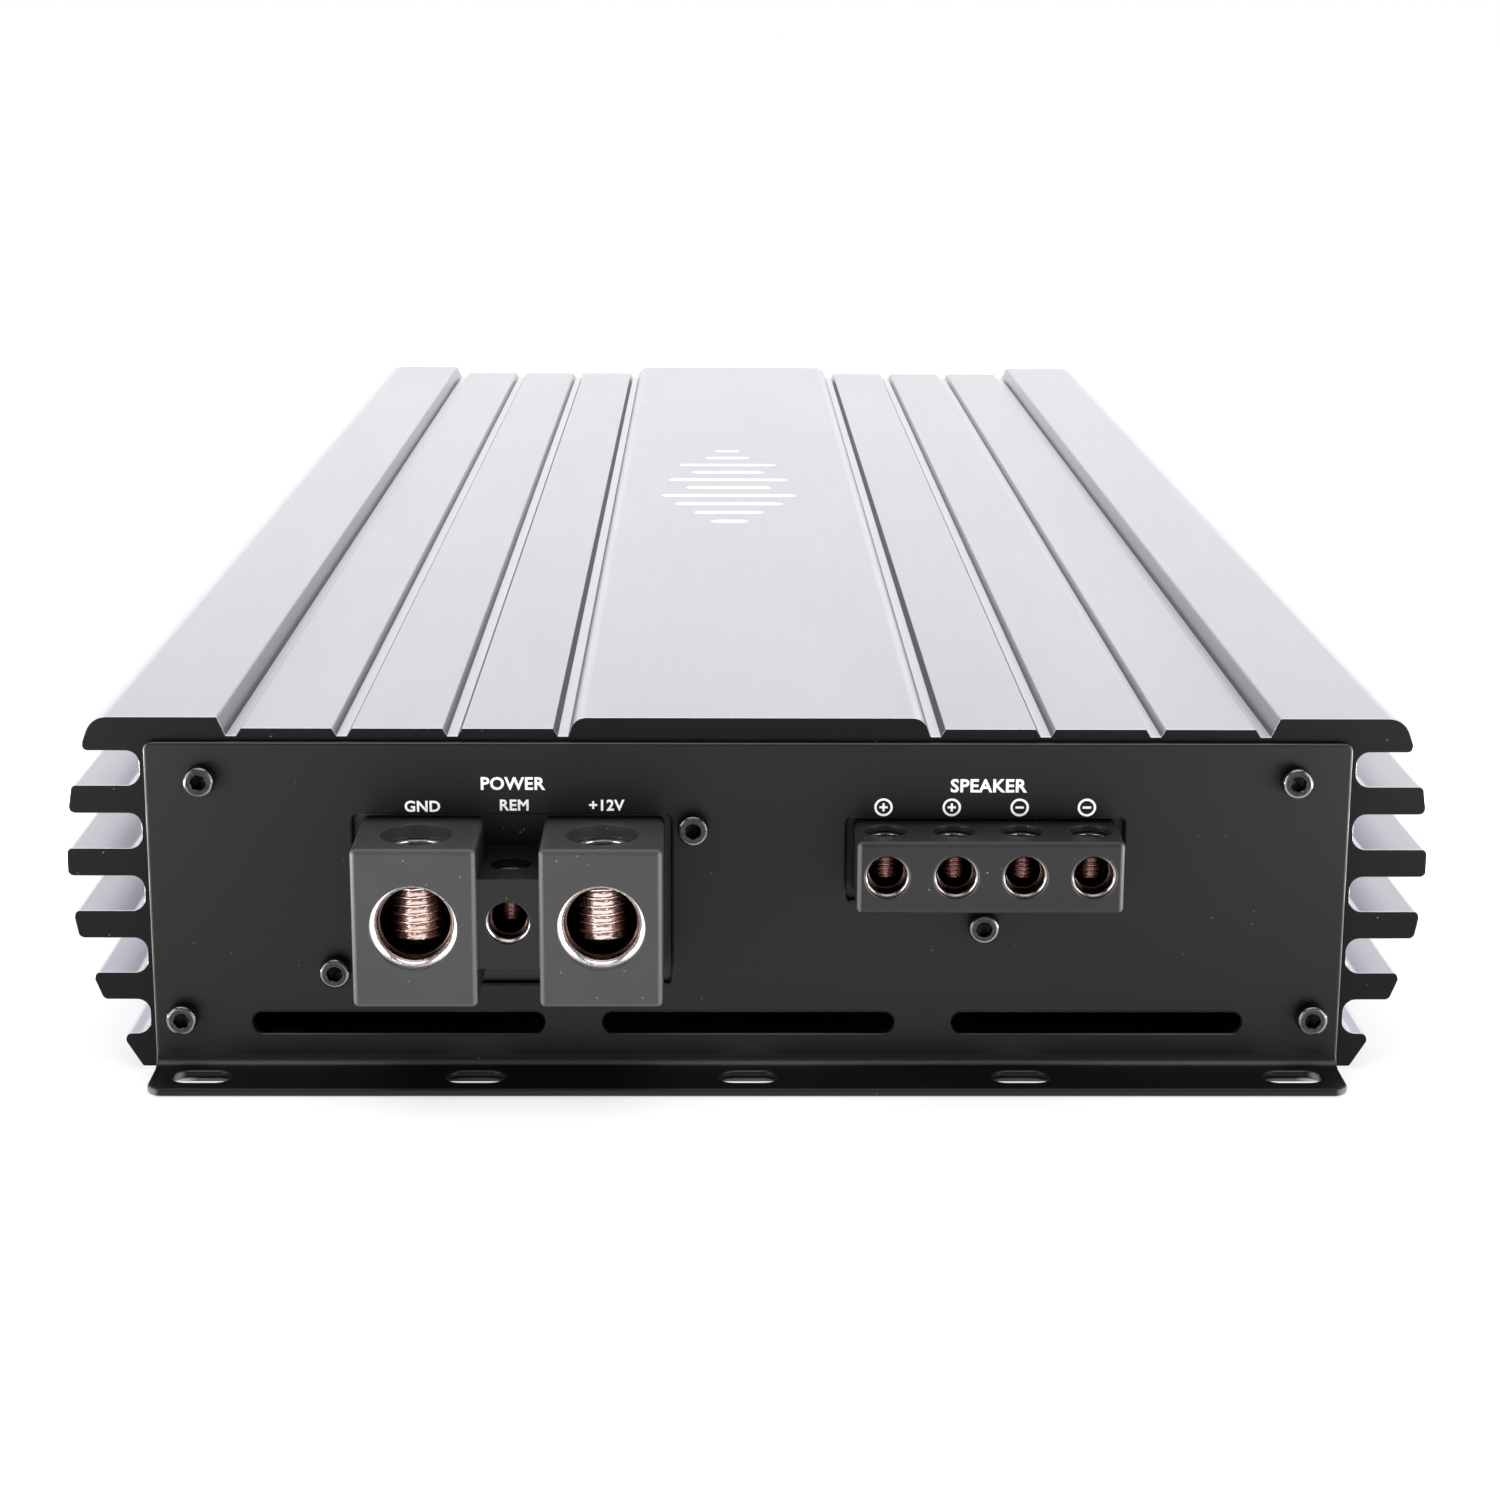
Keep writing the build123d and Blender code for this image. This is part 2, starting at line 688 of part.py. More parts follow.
def make_main_circuit_board():
    reach = (power_face + board_inset, signal_face - board_inset)
    board = block((-board_half_width, board_half_width), reach, (board_bottom_z, board_top_z))
    for x, y in standoff_places:
        board -= rod_z(x, y, m3_hole_radius, (board_bottom_z - 1, board_top_z + 1))
    for x, y in preamp_standoffs:
        board -= rod_z(x, y, m3_hole_radius, (board_bottom_z - 1, board_top_z + 1))
    return board


def make_board_standoffs():
    """Hexagonal pillars between the board and the ceiling, and down to the preamplifier board."""
    pillars = []
    for x, y in standoff_places:
        pillar = hexagon(standoff_flats, ceiling_z - board_top_z) - Cylinder(m3_port_radius, 20)
        pillars.append(Pos(x, y, board_top_z) * pillar)
    for x, y in preamp_standoffs:
        pillar = hexagon(standoff_flats, board_bottom_z - preamp_top_z) - Cylinder(m3_port_radius, 60)
        pillars.append(Pos(x, y, preamp_top_z) * pillar)
    return group(pillars)


def make_board_screws():
    upwards = Rot(180, 0, 0)
    screws = [Pos(x, y, board_bottom_z) * upwards * cap_screw(7.0) for x, y in standoff_places]
    screws += [Pos(x, y, preamp_bottom_z) * upwards * cap_screw(7.0) for x, y in preamp_standoffs]
    return group(screws)


def capacitor(x, y, radius, height):
    """Electrolytic can hanging from the board, with the bead that holds its seal."""
    can = rod_z(x, y, radius, (board_bottom_z - height, board_bottom_z))
    bottom = can.edges().group_by(Axis.Z)[0]
    can = fillet(bottom, 0.6)
    bead = Pos(x, y, board_bottom_z - 3.5) * Torus(radius + 0.35, 0.8)
    return can - bead


def make_input_capacitors():
    return group([capacitor(24.0 * n, power_face + 64.0, 9.0, 36.0) for n in range(-3, 4)])


def make_rail_capacitors():
    places = [(x, power_face + y) for x in (-57.0, -19.0, 19.0, 57.0) for y in (198.0, 236.0)]
    return group([capacitor(x, y, 15.0, 41.0) for x, y in places])


class Toroid(NamedTuple):
    """Wound ring core hanging from the board."""

    x: float
    y: float
    outer: float
    inner: float
    height: float
    winding: float


transformers = [Toroid(x, power_face + 122.0, 25.0, 15.0, 20.0, 3.5) for x in (-45.0, 45.0)]
input_chokes = [Toroid(42.0, power_face + 32.0, 13.0, 8.0, 12.0, 2.5)]
output_chokes = [Toroid(x, power_face + 345.0, 22.0, 13.0, 20.0, 3.5) for x in (-45.0, 45.0)]


def toroid_place(toroid):
    return Pos(toroid.x, toroid.y, board_bottom_z - toroid.winding - toroid.height / 2)


def make_cores(toroids):
    return group([toroid_place(t) * ring(t.outer, t.inner, t.height) for t in toroids])


def make_windings(toroids):
    """Copper layer that wraps each core on every side."""
    windings = []
    for t in toroids:
        wrap = t.winding
        around = ring(t.outer + wrap, t.inner - wrap, t.height + 2 * wrap)
        around = fillet(around.edges().filter_by(GeomType.CIRCLE), 0.8 * wrap)
        windings.append(toroid_place(t) * (around - ring(t.outer, t.inner, t.height)))
    return group(windings)


def make_driver_boards():
    """Two plug-in cards that stand down from the main board."""
    cards = []
    for y in (power_face + 160.0, power_face + 272.0):
        card = block((-34.0, 34.0), (y, y + 1.6), (board_bottom_z - 30.0, board_bottom_z))
        chip = block((-12.0, 12.0), (y + 1.6, y + 4.6), (board_bottom_z - 24.0, board_bottom_z - 12.0))
        cards.append(card + chip)
    return group(cards)


def make_film_capacitors():
    places = [(x, power_face + 395.0) for x in (-60.0, -20.0, 20.0, 60.0)]
    cans = []
    for x, y in places:
        box = block(spread(x, 15.5), spread(y, 6.5), (board_bottom_z - 22.0, board_bottom_z))
        cans.append(rounded(box, 0.8))
    return group(cans)


# ---- transistors clamped to the side walls --------------------------------------------------------------

transistor_count = 16
transistor_pitch = 21.25
first_transistor = power_face + 86.0
last_transistor = first_transistor + transistor_pitch * (transistor_count - 1)
transistor_depth = 5.0
transistor_half_width = 7.9
transistor_z = (22.0, 42.5)
transistor_legs = (-5.45, 0.0, 5.45)
pad_thickness = 0.3
bar_thickness = 2.5
bar_z = (27.0, 37.0)
bar_seat = pad_thickness + transistor_depth  # from the wall to the clamp bar


def inwards(side, low, high):
    """X range measured inwards from a side wall's inner face."""
    return tuple(sorted((side * (inner_wall_x - low), side * (inner_wall_x - high))))


def make_transistors(side):
    packages = []
    for number in range(transistor_count):
        y = first_transistor + transistor_pitch * number
        across = inwards(side, pad_thickness, bar_seat)
        package = block(across, spread(y, transistor_half_width), transistor_z)
        for offset in transistor_legs:
            leg = (transistor_z[1] - 0.5, board_bottom_z)
            package += block(inwards(side, 2.6, 3.3), spread(y + offset, 0.6), leg)
        packages.append(package)
    return group(packages)


def make_insulator_pads():
    pads = []
    for side in (-1, 1):
        reach = (first_transistor - 9, last_transistor + 9)
        pad = block(inwards(side, 0, pad_thickness), reach, (20.5, 44.0))
        for y in clamp_screw_places:
            pad -= rod_x(y, clamp_screw_z, m3_hole_radius, inwards(side, -1, 1))
        pads.append(pad)
    return group(pads)


def make_clamp_bars():
    """Steel bars that press each row of transistors on its wall."""
    bars = []
    for side in (-1, 1):
        across = inwards(side, bar_seat, bar_seat + bar_thickness)
        bar = block(across, (first_transistor - 8, last_transistor + 8), bar_z)
        for y in clamp_screw_places:
            bar -= rod_x(y, clamp_screw_z, m3_hole_radius, inwards(side, bar_seat - 1, bar_seat + 4))
        bars.append(bar)
    return group(bars)


def make_clamp_screws():
    screws = []
    head_seat = inner_wall_x - bar_seat - bar_thickness
    for side in (-1, 1):
        for y in clamp_screw_places:
            turn = Rot(0, -90 * side, 0)
            screws.append(Pos(side * head_seat, y, clamp_screw_z) * turn * cap_screw(12.0))
    return group(screws)


def make_cover_screws():
    """Countersunk screws, heads down and flush with the cover."""
    flip = Rot(180, 0, 0)
    places = [(side * cover_screw_x, y) for side in (-1, 1) for y in cover_screw_places]
    return group([Pos(x, y, cover_bottom_z) * flip * countersunk_screw(7.0) for x, y in places])


# ---- every node -----------------------------------------------------------------------------------------

def make_parts():
    parts = {
        "heatsink": make_heatsink(),
        "bottom_cover": make_bottom_cover(),
        "bottom_cover_screws": make_cover_screws(),
        "power_end_panel": make_power_end_panel(),
        "power_panel_screws": make_corner_screws(power_side),
        "power_terminal_housing": make_power_terminal_housing(),
        "speaker_terminal_housing": make_speaker_terminal_housing(),
        "terminal_housing_screws": make_terminal_screws(),
        "bus_bars": group([make_bus_bar(power_terminals[name]) for name in ("ground", "battery")]),
        "signal_end_panel": make_signal_end_panel(),
        "signal_panel_screws": make_corner_screws(signal_side),
        "rca_housing": make_rca_housing(),
        "rca_shells": make_rca_shells(),
        "rca_insulators": make_rca_insulators(),
        "rca_contacts": make_rca_contacts(),
        "remote_level_jack": make_remote_jack(),
        "potentiometer_bodies": make_potentiometer_bodies(),
        "slide_switch_bodies": make_slide_switch_bodies(),
        "status_lights": make_status_lights(),
        "preamp_board": make_preamp_board(),
        "preamp_header": make_preamp_header(),
        "preamp_chips": make_preamp_chips(),
        "main_circuit_board": make_main_circuit_board(),
        "board_standoffs": make_board_standoffs(),
        "board_screws": make_board_screws(),
        "input_capacitors": make_input_capacitors(),
        "rail_capacitors": make_rail_capacitors(),
        "film_capacitors": make_film_capacitors(),
        "transformer_cores": make_cores(transformers),
        "transformer_windings": make_windings(transformers),
        "input_choke_core": make_cores(input_chokes),
        "input_choke_winding": make_windings(input_chokes),
        "output_choke_cores": make_cores(output_chokes),
        "output_choke_windings": make_windings(output_chokes),
        "driver_boards": make_driver_boards(),
        "left_transistors": make_transistors(-1),
        "right_transistors": make_transistors(1),
        "insulator_pads": make_insulator_pads(),
        "clamp_bars": make_clamp_bars(),
        "clamp_screws": make_clamp_screws(),
    }
    for name, terminal in {**power_terminals, **speaker_terminals}.items():
        parts[f"{name}_terminal_body"] = make_terminal_body(terminal)
        parts[f"{name}_set_screw"] = make_set_screw(terminal)
    for name, x in knob_places.items():
        parts[name] = make_knob(x)
    for name, x in switch_places.items():
        parts[name] = make_slider(x)
    return parts


os.makedirs("parts", exist_ok=True)
for node, shape in make_parts().items():
    export_step(shape, f"parts/{node}.step")
    print(f"{node}: {len(shape.solids())} solids, {shape.volume / 1000:.2f} cm3")
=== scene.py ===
from math import atan2, ceil, cos, pi, radians, sin, sqrt, tan

import bmesh
import bpy
from mathutils import Matrix, Vector


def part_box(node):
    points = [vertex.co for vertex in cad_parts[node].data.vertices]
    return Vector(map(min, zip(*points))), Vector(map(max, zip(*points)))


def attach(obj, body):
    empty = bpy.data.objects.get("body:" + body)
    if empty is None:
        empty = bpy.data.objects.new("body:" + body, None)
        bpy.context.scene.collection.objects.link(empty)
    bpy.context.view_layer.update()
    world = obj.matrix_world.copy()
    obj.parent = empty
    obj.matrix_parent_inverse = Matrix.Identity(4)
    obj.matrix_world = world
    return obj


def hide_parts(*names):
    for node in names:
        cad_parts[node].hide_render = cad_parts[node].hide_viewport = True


# The looks of a car amplifier: a finned extrusion between two bent end panels. Lengths are written in
# millimetres and multiplied by MM; +Z is up and -Y is the power end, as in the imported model.

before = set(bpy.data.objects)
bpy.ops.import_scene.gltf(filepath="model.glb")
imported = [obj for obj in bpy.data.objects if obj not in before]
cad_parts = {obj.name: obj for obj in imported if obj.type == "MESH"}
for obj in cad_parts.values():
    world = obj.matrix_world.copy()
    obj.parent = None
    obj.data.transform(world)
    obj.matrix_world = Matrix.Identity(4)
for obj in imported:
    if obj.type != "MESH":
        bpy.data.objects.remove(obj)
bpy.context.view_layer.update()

MM = 0.001
SHEET = 1.5  # thickness of the end panels
sink_low, sink_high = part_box("heatsink")
sink_start, sink_end = sink_low.y / MM, sink_high.y / MM
power_face, signal_face = sink_start - SHEET, sink_end + SHEET
TOP_Z = sink_high.z / MM
GROOVE_Z, BAND_Z = TOP_Z - 3.4, TOP_Z - 2.0
BLOCK_REACH, SPEAKER_REACH = 19.5, 13.0  # how far the two terminal housings stand out of the power end
PANEL_SIDE = 101.0  # the end panels' upright edges lie beyond this far along X on both sides
BRIDGE_X = (-46.65, -36.0)  # the remote terminal's part of the power housing, between its two large blocks
ALL_WAYS = (1.0, 1.0, 1.0)  # texture cells as long as they are wide and high


# ---- procedural materials ---------------------------------------------------------------------------------

class Look:
    """A Principled material and the textures that feed it, in row-frame metres."""

    def __init__(self, name, **values):
        self.material = bpy.data.materials.new(name)
        self.material.use_nodes = True
        self.tree = self.material.node_tree
        self.shader = self.tree.nodes["Principled BSDF"]
        self.place = self.tree.nodes.new("ShaderNodeTexCoord").outputs["Object"]
        for socket, value in values.items():
            self.feed(socket, value)

    def feed(self, socket, value):
        """Set or link a socket of the shader; Base_Color stands for Base Color."""
        self._join(self.shader.inputs[socket.replace("_", " ")], value)

    def _join(self, socket, value):
        if isinstance(value, bpy.types.NodeSocket):
            self.tree.links.new(value, socket)
        else:
            socket.default_value = value

    def add(self, kind, inputs, **settings):
        """New node with its settings, and its inputs set or linked."""
        node = self.tree.nodes.new(f"ShaderNode{kind}")
        for name, value in settings.items():
            setattr(node, name, value)
        for name, value in inputs.items():
            self._join(node.inputs[name], value)
        return node

    def noise(self, cells, detail=2.0, roughness=0.5):
        """Noise from 0 to 1 with this many cells a metre along X, Y and Z."""
        place = self.add("Mapping", {"Vector": self.place, "Scale": cells})
        made = self.add("TexNoise", {"Vector": place.outputs[0], "Scale": 1.0, "Detail": detail,
                                     "Roughness": roughness})
        return made.outputs["Fac"]

    def dust(self, spacing, radius):
        """1 in sparse specks of this radius and 0 elsewhere, in millimetres."""
        points = self.add("TexVoronoi", {"Vector": self.place, "Scale": 1 / (spacing * MM)})
        return self.remap(points.outputs["Distance"], 0.5 * radius / spacing, radius / spacing, 1.0, 0.0)

    def remap(self, value, low, high, to_low=0.0, to_high=1.0):
        """The range from low to high carried to another, and clamped to it."""
        made = self.add("MapRange", {"Value": value, "From Min": low, "From Max": high,
                                     "To Min": to_low, "To Max": to_high})
        return made.outputs["Result"]

    def spread(self, noise, low=0.0, high=1.0):
        """The middle of a noise's range carried to the whole of another."""
        return self.remap(noise, 0.3, 0.7, low, high)

    def mix(self, share, first, second):
        """Colour between two colours."""
        made = self.add("Mix", {0: share, 6: first, 7: second}, data_type="RGBA")
        return made.outputs[2]

    def product(self, first, second):
        return self.add("Math", {0: first, 1: second}, operation="MULTIPLY").outputs[0]

    def larger(self, first, second):
        return self.add("Math", {0: first, 1: second}, operation="MAXIMUM").outputs[0]

    def bump(self, height, depth, onto=None):
        """Normal for a height from 0 to 1 that stands for this many millimetres."""
        inputs = {"Height": height, "Distance": depth * MM}
        if onto is not None:
            inputs["Normal"] = onto
        return self.add("Bump", inputs).outputs["Normal"]

    def beside(self, axis, low, high):
        """0 below one place along an axis of the row frame and 1 above the other, in millimetres."""
        parts = self.add("SeparateXYZ", {"Vector": self.place})
        return self.remap(parts.outputs[axis], low * MM, high * MM)

    def turned_to(self, axes, low, high):
        """0 to 1 by the size of the normal along an axis, or of the product along two."""
        normal = self.add("NewGeometry", {}).outputs["Normal"]
        parts = self.add("SeparateXYZ", {"Vector": normal})
        product = self.product(parts.outputs[axes[0]], parts.outputs[axes[-1]])
        size = self.add("Math", {0: product}, operation="ABSOLUTE").outputs[0]
        return self.remap(size, low, high)

    def finished(self, colour, grain, smooth, rough, depth):
        """The material with this colour, and roughness and bump that follow the grain."""
        self.feed("Base Color", colour)
        self.feed("Roughness", self.spread(grain, smooth, rough))
        self.feed("Normal", self.bump(grain, depth))
        return self.material


def grey(value, tint=(1.0, 1.0, 1.0)):
    """Opaque colour of a grey value, which the tint may shift."""
    return (value * tint[0], value * tint[1], value * tint[2], 1.0)


def cells(each_way, stretch=ALL_WAYS):
    """Texture cells a metre along X, Y and Z, fewer where a share is below 1."""
    return tuple(each_way * share for share in stretch)


def anodised():
    """Satin anodised extrusion: lines drawn along Y and a fine mottle. The groove floors are painted pale, a
    painted highlight, and faces turned to the sides are painted dark, painted shade.
    """
    look = Look("anodised", Metallic=1.0)
    drawn = look.noise(cells(2600, (1.0, 0.012, 1.0)), 3.0, 0.6)
    mottle = look.noise(cells(900), 2.0)
    cloud = look.noise(cells(25, (1.0, 0.3, 1.0)), 3.0)
    base = look.mix(look.spread(cloud), (0.520, 0.514, 0.560, 1.0), (0.552, 0.546, 0.592, 1.0))
    # Painted highlight: the groove floors are painted paler than the rest of the top.
    groove_floor_highlight = look.mix(look.beside("Z", GROOVE_Z + 0.3, GROOVE_Z + 0.1), base, (0.64, 0.632, 0.67, 1.0))
    top_only = look.mix(look.beside("Z", GROOVE_Z - 0.5, GROOVE_Z - 0.3), base, groove_floor_highlight)
    # Painted shade: faces turned towards the sides are painted dark.
    sides = look.turned_to("X", 0.06, 0.72)
    look.feed("Base Color", look.mix(sides, top_only, (0.137, 0.13, 0.153, 1.0)))
    look.feed("Roughness", look.remap(drawn, 0.25, 0.75, 0.32, 0.36))
    look.feed("Normal", look.bump(drawn, 0.0007, look.bump(mottle, 0.0015)))
    return look.material


def cut_end():
    """Sawn and blackened end of the extrusion."""
    look = Look("cut_end", Specular_IOR_Level=0.1)
    sawn = look.noise(cells(1400, (0.03, 1.0, 1.0)), 2.0)
    dusty = look.mix(look.dust(3.4, 0.16), grey(0.004), grey(0.16))
    return look.finished(dusty, sawn, 0.34, 0.46, 0.004)


def bright_edge():
    """Narrow machined edge round the cut ends. On the cap screws' socket mouths the same pale metal stands as a
    painted glint.
    """
    look = Look("bright_edge", Metallic=1.0)
    marks = look.noise(cells(1800), 2.0)
    look.feed("Base Color", look.mix(marks, (0.42, 0.41, 0.44, 1.0), (0.60, 0.59, 0.62, 1.0)))
    look.feed("Roughness", look.spread(marks, 0.22, 0.34))
    return look.material


def panel_coat():
    """Black powder coat with a fine even texture and some dust, painted lighter as a painted highlight on its
    rounded upright side edges and in a thin line where its bends face halfway between upright and level.
    """
    look = Look("panel_coat", Specular_IOR_Level=0.235)
    texture = look.noise(cells(2600), 2.0)
    patch = look.noise(cells(14), 2.0)
    base = look.mix(look.spread(patch), grey(0.0030), grey(0.0042, (0.98, 0.98, 1.1)))
    dusty = look.mix(look.dust(4.2, 0.15), base, grey(0.12))
    sides = look.larger(look.beside("X", PANEL_SIDE - 1.0, PANEL_SIDE),
                        look.beside("X", 1.0 - PANEL_SIDE, -PANEL_SIDE))
    # Painted highlight: the rounded upright side edges are painted lighter.
    edges = look.product(sides, look.turned_to("XY", 0.2, 0.45))
    side_highlighted = look.mix(edges, dusty, grey(0.15))
    # Painted highlight: a thin pale line where the bends face halfway between upright and level.
    bend = look.product(look.beside("Y", power_face - 8.0, power_face - 7.0), look.turned_to("YZ", 0.44, 0.5))
    return look.finished(look.mix(bend, side_highlighted, grey(0.045)), texture, 0.36, 0.46, 0.005)


def moulding(name, front, shade, gloss):
    """Charcoal nylon with spark-eroded grain and dust. Painted shade darkens it behind the panel and on the
    bridge between the two large blocks, and a painted highlight makes the upright edges of its front, which is
    a place along Y, pale."""
    look = Look(name, Specular_IOR_Level=gloss)
    grain = look.noise(cells(2200), 3.0, 0.6)
    patch = look.noise(cells(60), 2.0)
    base = look.mix(look.spread(patch), grey(0.92 * shade), grey(1.08 * shade, (0.99, 0.99, 1.03)))
    # Painted shade: the housing is painted darker behind the panel.
    behind = look.beside("Y", power_face - 3.0, power_face + 1.0)
    shaded = look.mix(behind, base, grey(0.15 * shade))
    # Painted shade: the bridge between the two large blocks is painted darker.
    left, right = BRIDGE_X
    bridge = look.product(look.beside("X", left - 0.1, left + 0.1),
                          look.beside("X", right + 0.1, right - 0.1))
    bridge_shaded = look.mix(bridge, shaded, grey(0.05 * shade))
    # Painted highlight: the rounded upright edges of the front are painted pale.
    edge = look.product(look.turned_to("XY", 0.1, 0.48), look.beside("Y", front + 1.6, front + 1.3))
    front_highlighted = look.mix(edge, bridge_shaded, grey(0.11))
    dusty = look.mix(look.dust(2.4, 0.15), front_highlighted, grey(0.26))
    return look.finished(dusty, grain, 0.36, 0.46, 0.010)


def metal(name, dark, light, smooth, rough, line=ALL_WAYS, line_cells=1200, depth=0.002):
    """Plain metal with stains from dark to light, and tool lines: noise cells that line stretches."""
    look = Look(name, Metallic=1.0)
    marks = look.noise(cells(line_cells, line), 2.0, 0.6)
    stain = look.noise(cells(220), 3.0)
    colour = look.mix(look.remap(stain, 0.35, 0.7), (*dark, 1.0), (*light, 1.0))
    return look.finished(colour, marks, smooth, rough, depth)


def black_oxide():
    """Oiled black oxide on the cap screws."""
    look = Look("black_screw", Metallic=1.0)
    marks = look.noise(cells(1500), 2.0)
    return look.finished(look.mix(look.spread(marks), grey(0.025), grey(0.05)), marks, 0.16, 0.24, 0.003)


def plastic(name, dark, light, smooth=0.35, rough=0.5, patches=160, specular=0.4, depth=0.004):
    """Moulded or lacquered part with slight colour variation and fine grain."""
    look = Look(name, Specular_IOR_Level=specular)
    grain = look.noise(cells(1600), 2.0)
    patch = look.noise(cells(patches), 2.0)
    return look.finished(look.mix(look.spread(patch), (*dark, 1.0), (*light, 1.0)), grain, smooth, rough, depth)


def wound_copper():
    """Enamelled wire: turns run round the ring, drawn as radial ridges of noise."""
    look = Look("copper", Metallic=0.9, Coat_Weight=0.4, Coat_Roughness=0.15)
    turns = look.noise(cells(900, (1.0, 1.0, 0.05)), 1.0)
    colour = look.mix(turns, (0.42, 0.13, 0.05, 1.0), (0.78, 0.33, 0.16, 1.0))
    return look.finished(colour, turns, 0.22, 0.38, 0.2)


def ink(name, value, rough):
    """Screen-printed ink, a little uneven."""
    look = Look(name, Specular_IOR_Level=0.3)
    cover = look.noise(cells(900), 3.0)
    colour = look.mix(look.remap(cover, 0.25, 0.6), grey(0.9 * value), grey(value))
    return look.finished(colour, cover, rough, rough + 0.1, 0.003)


def terminal_metal(name, front, top, shine):
    """Nickel plate, darker and browner inside the wire bore: behind front, which is a place along Y, and below
    top.
    """
    look = Look(name, Metallic=1.0)
    marks = look.noise(cells(1200), 2.0)
    inside = look.product(look.beside("Y", front, front + 0.5), look.beside("Z", top - 0.5, top - 0.7))
    plate = look.mix(marks, grey(0.9 * shine, (1.0, 0.965, 0.94)), grey(shine, (1.0, 0.975, 0.955)))
    return look.finished(look.mix(inside, plate, (0.09, 0.055, 0.048, 1.0)), marks, 0.2, 0.28, 0.001)


FLOOR_GLOW_FAR, FLOOR_GLOW_NEAR = 0.72, 1.26  # what the object gets from the floor in front of it
FLOOR_SEEN = 0.62  # what the camera gets, which comes to white with the lamps' light


def floor_look():
    """Matt white paper that glows as under strong studio light, except under the object and close round it,
    where it is painted dark grey without glow as a painted shadow.
    """
    look = Look("paper", Specular_IOR_Level=0.0, Roughness=0.9, Emission_Color=grey(1.0, (1.0, 1.0, 1.005)))
    fibre = look.noise(cells(30), 2.0)
    seen = look.add("LightPath", {}).outputs["Is Camera Ray"]
    near = look.beside("Y", power_face - 320.0, power_face - 90.0)
    glow = look.remap(seen, 0.0, 1.0, look.remap(near, 0.0, 1.0, FLOOR_GLOW_FAR, FLOOR_GLOW_NEAR), FLOOR_SEEN)
    out = [look.beside(axis, sign * (reach - 6.0), sign * (reach + 1.0))
           for axis, low, high in (("X", -104.0, 104.0), ("Y", power_face - 12.0, signal_face + 12.0))
           for sign, reach in ((-1, -low), (1, high))]
    # The floor is also lit below the slots of the power end's flange.
    lit = look.product(look.beside("Y", power_face - 9.2, power_face - 9.0),
                       look.beside("Y", power_face - 4.3, power_face - 4.5))
    for share in out:
        lit = look.larger(lit, share)
    # Painted shadow: under the object and close round it the paper is dark grey and does not glow.
    look.feed("Base Color", look.mix(lit, grey(0.12), look.mix(fibre, grey(0.40), grey(0.42))))
    look.feed("Emission Strength", look.product(glow, lit))
    return look.material


NICKEL = metal("nickel_plate", (0.62, 0.585, 0.56), (0.80, 0.775, 0.75), 0.20, 0.32, line_cells=1500)
ANODISED = anodised()
CUT_END = cut_end()
BRIGHT_EDGE = bright_edge()
PANEL = panel_coat()
MOULDING = moulding("black_moulding", power_face - BLOCK_REACH, 0.037, 0.32)
SPEAKER_MOULDING = moulding("speaker_moulding", power_face - SPEAKER_REACH, 0.018, 0.2)
SET_SCREW = metal("set_screw", (0.72, 0.56, 0.52), (0.92, 0.80, 0.77), 0.14, 0.24,
                  line_cells=1400, depth=0.0005)
# Painted shade: a darker copy of the set-screw metal for the small screws deep in their bores.
SHADED_SMALL_SCREW = metal("small_set_screw", (0.36, 0.24, 0.22), (0.50, 0.36, 0.33), 0.18, 0.30,
                    line_cells=1400, depth=0.0005)
BLACK_SCREW = black_oxide()
# Painted shade: near-black metal inside the cap screws' sockets.
SHADED_SOCKET = metal("socket", (0.004, 0.004, 0.004), (0.012, 0.012, 0.012), 0.3, 0.4)
# Lighter metal on the cap screws' domed rims: partly wear, partly a painted highlight.
WORN_AND_HIGHLIGHT_RIM = metal("worn_and_highlight_rim", (0.08, 0.08, 0.085), (0.24, 0.24, 0.25), 0.14, 0.24, line_cells=1500)
PRINT = ink("print", 0.86, 0.45)
MARK = ink("mark", 0.95, 0.5)

slot_looks = {
    "brushed_anodised": ANODISED,
    "black_panel": PANEL,
    "black_moulding": MOULDING,
    "nickel_plate": NICKEL,
    "black_screw": BLACK_SCREW,
    "set_screw": SET_SCREW,
    "copper": wound_copper(),
    "circuit_board": plastic("circuit_board", (0.006, 0.045, 0.02), (0.012, 0.075, 0.03), 0.25, 0.4, 300),
    "ferrite": plastic("ferrite", (0.04, 0.05, 0.035), (0.07, 0.08, 0.06), 0.45, 0.6),
    "capacitor_sleeve": plastic("capacitor_sleeve", (0.008, 0.008, 0.011), (0.02, 0.02, 0.026), 0.2, 0.3, 90),
    "film_capacitor": plastic("film_capacitor", (0.32, 0.03, 0.015), (0.42, 0.05, 0.03), 0.25, 0.4),
    "chip": plastic("chip", (0.012, 0.012, 0.013), (0.024, 0.024, 0.025), 0.4, 0.55),
    "insulator": plastic("insulator", (0.62, 0.61, 0.58), (0.72, 0.71, 0.68), 0.35, 0.5),
    "steel_bar": metal("steel_bar", (0.38, 0.37, 0.36), (0.55, 0.54, 0.53), 0.3, 0.45, (1.0, 0.03, 1.0)),
    "brass": metal("brass", (0.62, 0.44, 0.18), (0.78, 0.58, 0.27), 0.25, 0.38),
    "rca_ring": metal("rca_ring", (0.74, 0.52, 0.20), (0.88, 0.66, 0.30), 0.16, 0.28, (1.0, 4.0, 1.0), 500),
    "indicator": plastic("indicator", (0.01, 0.03, 0.16), (0.015, 0.05, 0.24), 0.08, 0.16, 120, 0.6, 0.001),
}

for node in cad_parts.values():
    for place in node.material_slots:
        place.material = slot_looks[place.material.name.split(".")[0]]


# ---- mesh helpers -----------------------------------------------------------------------------------------

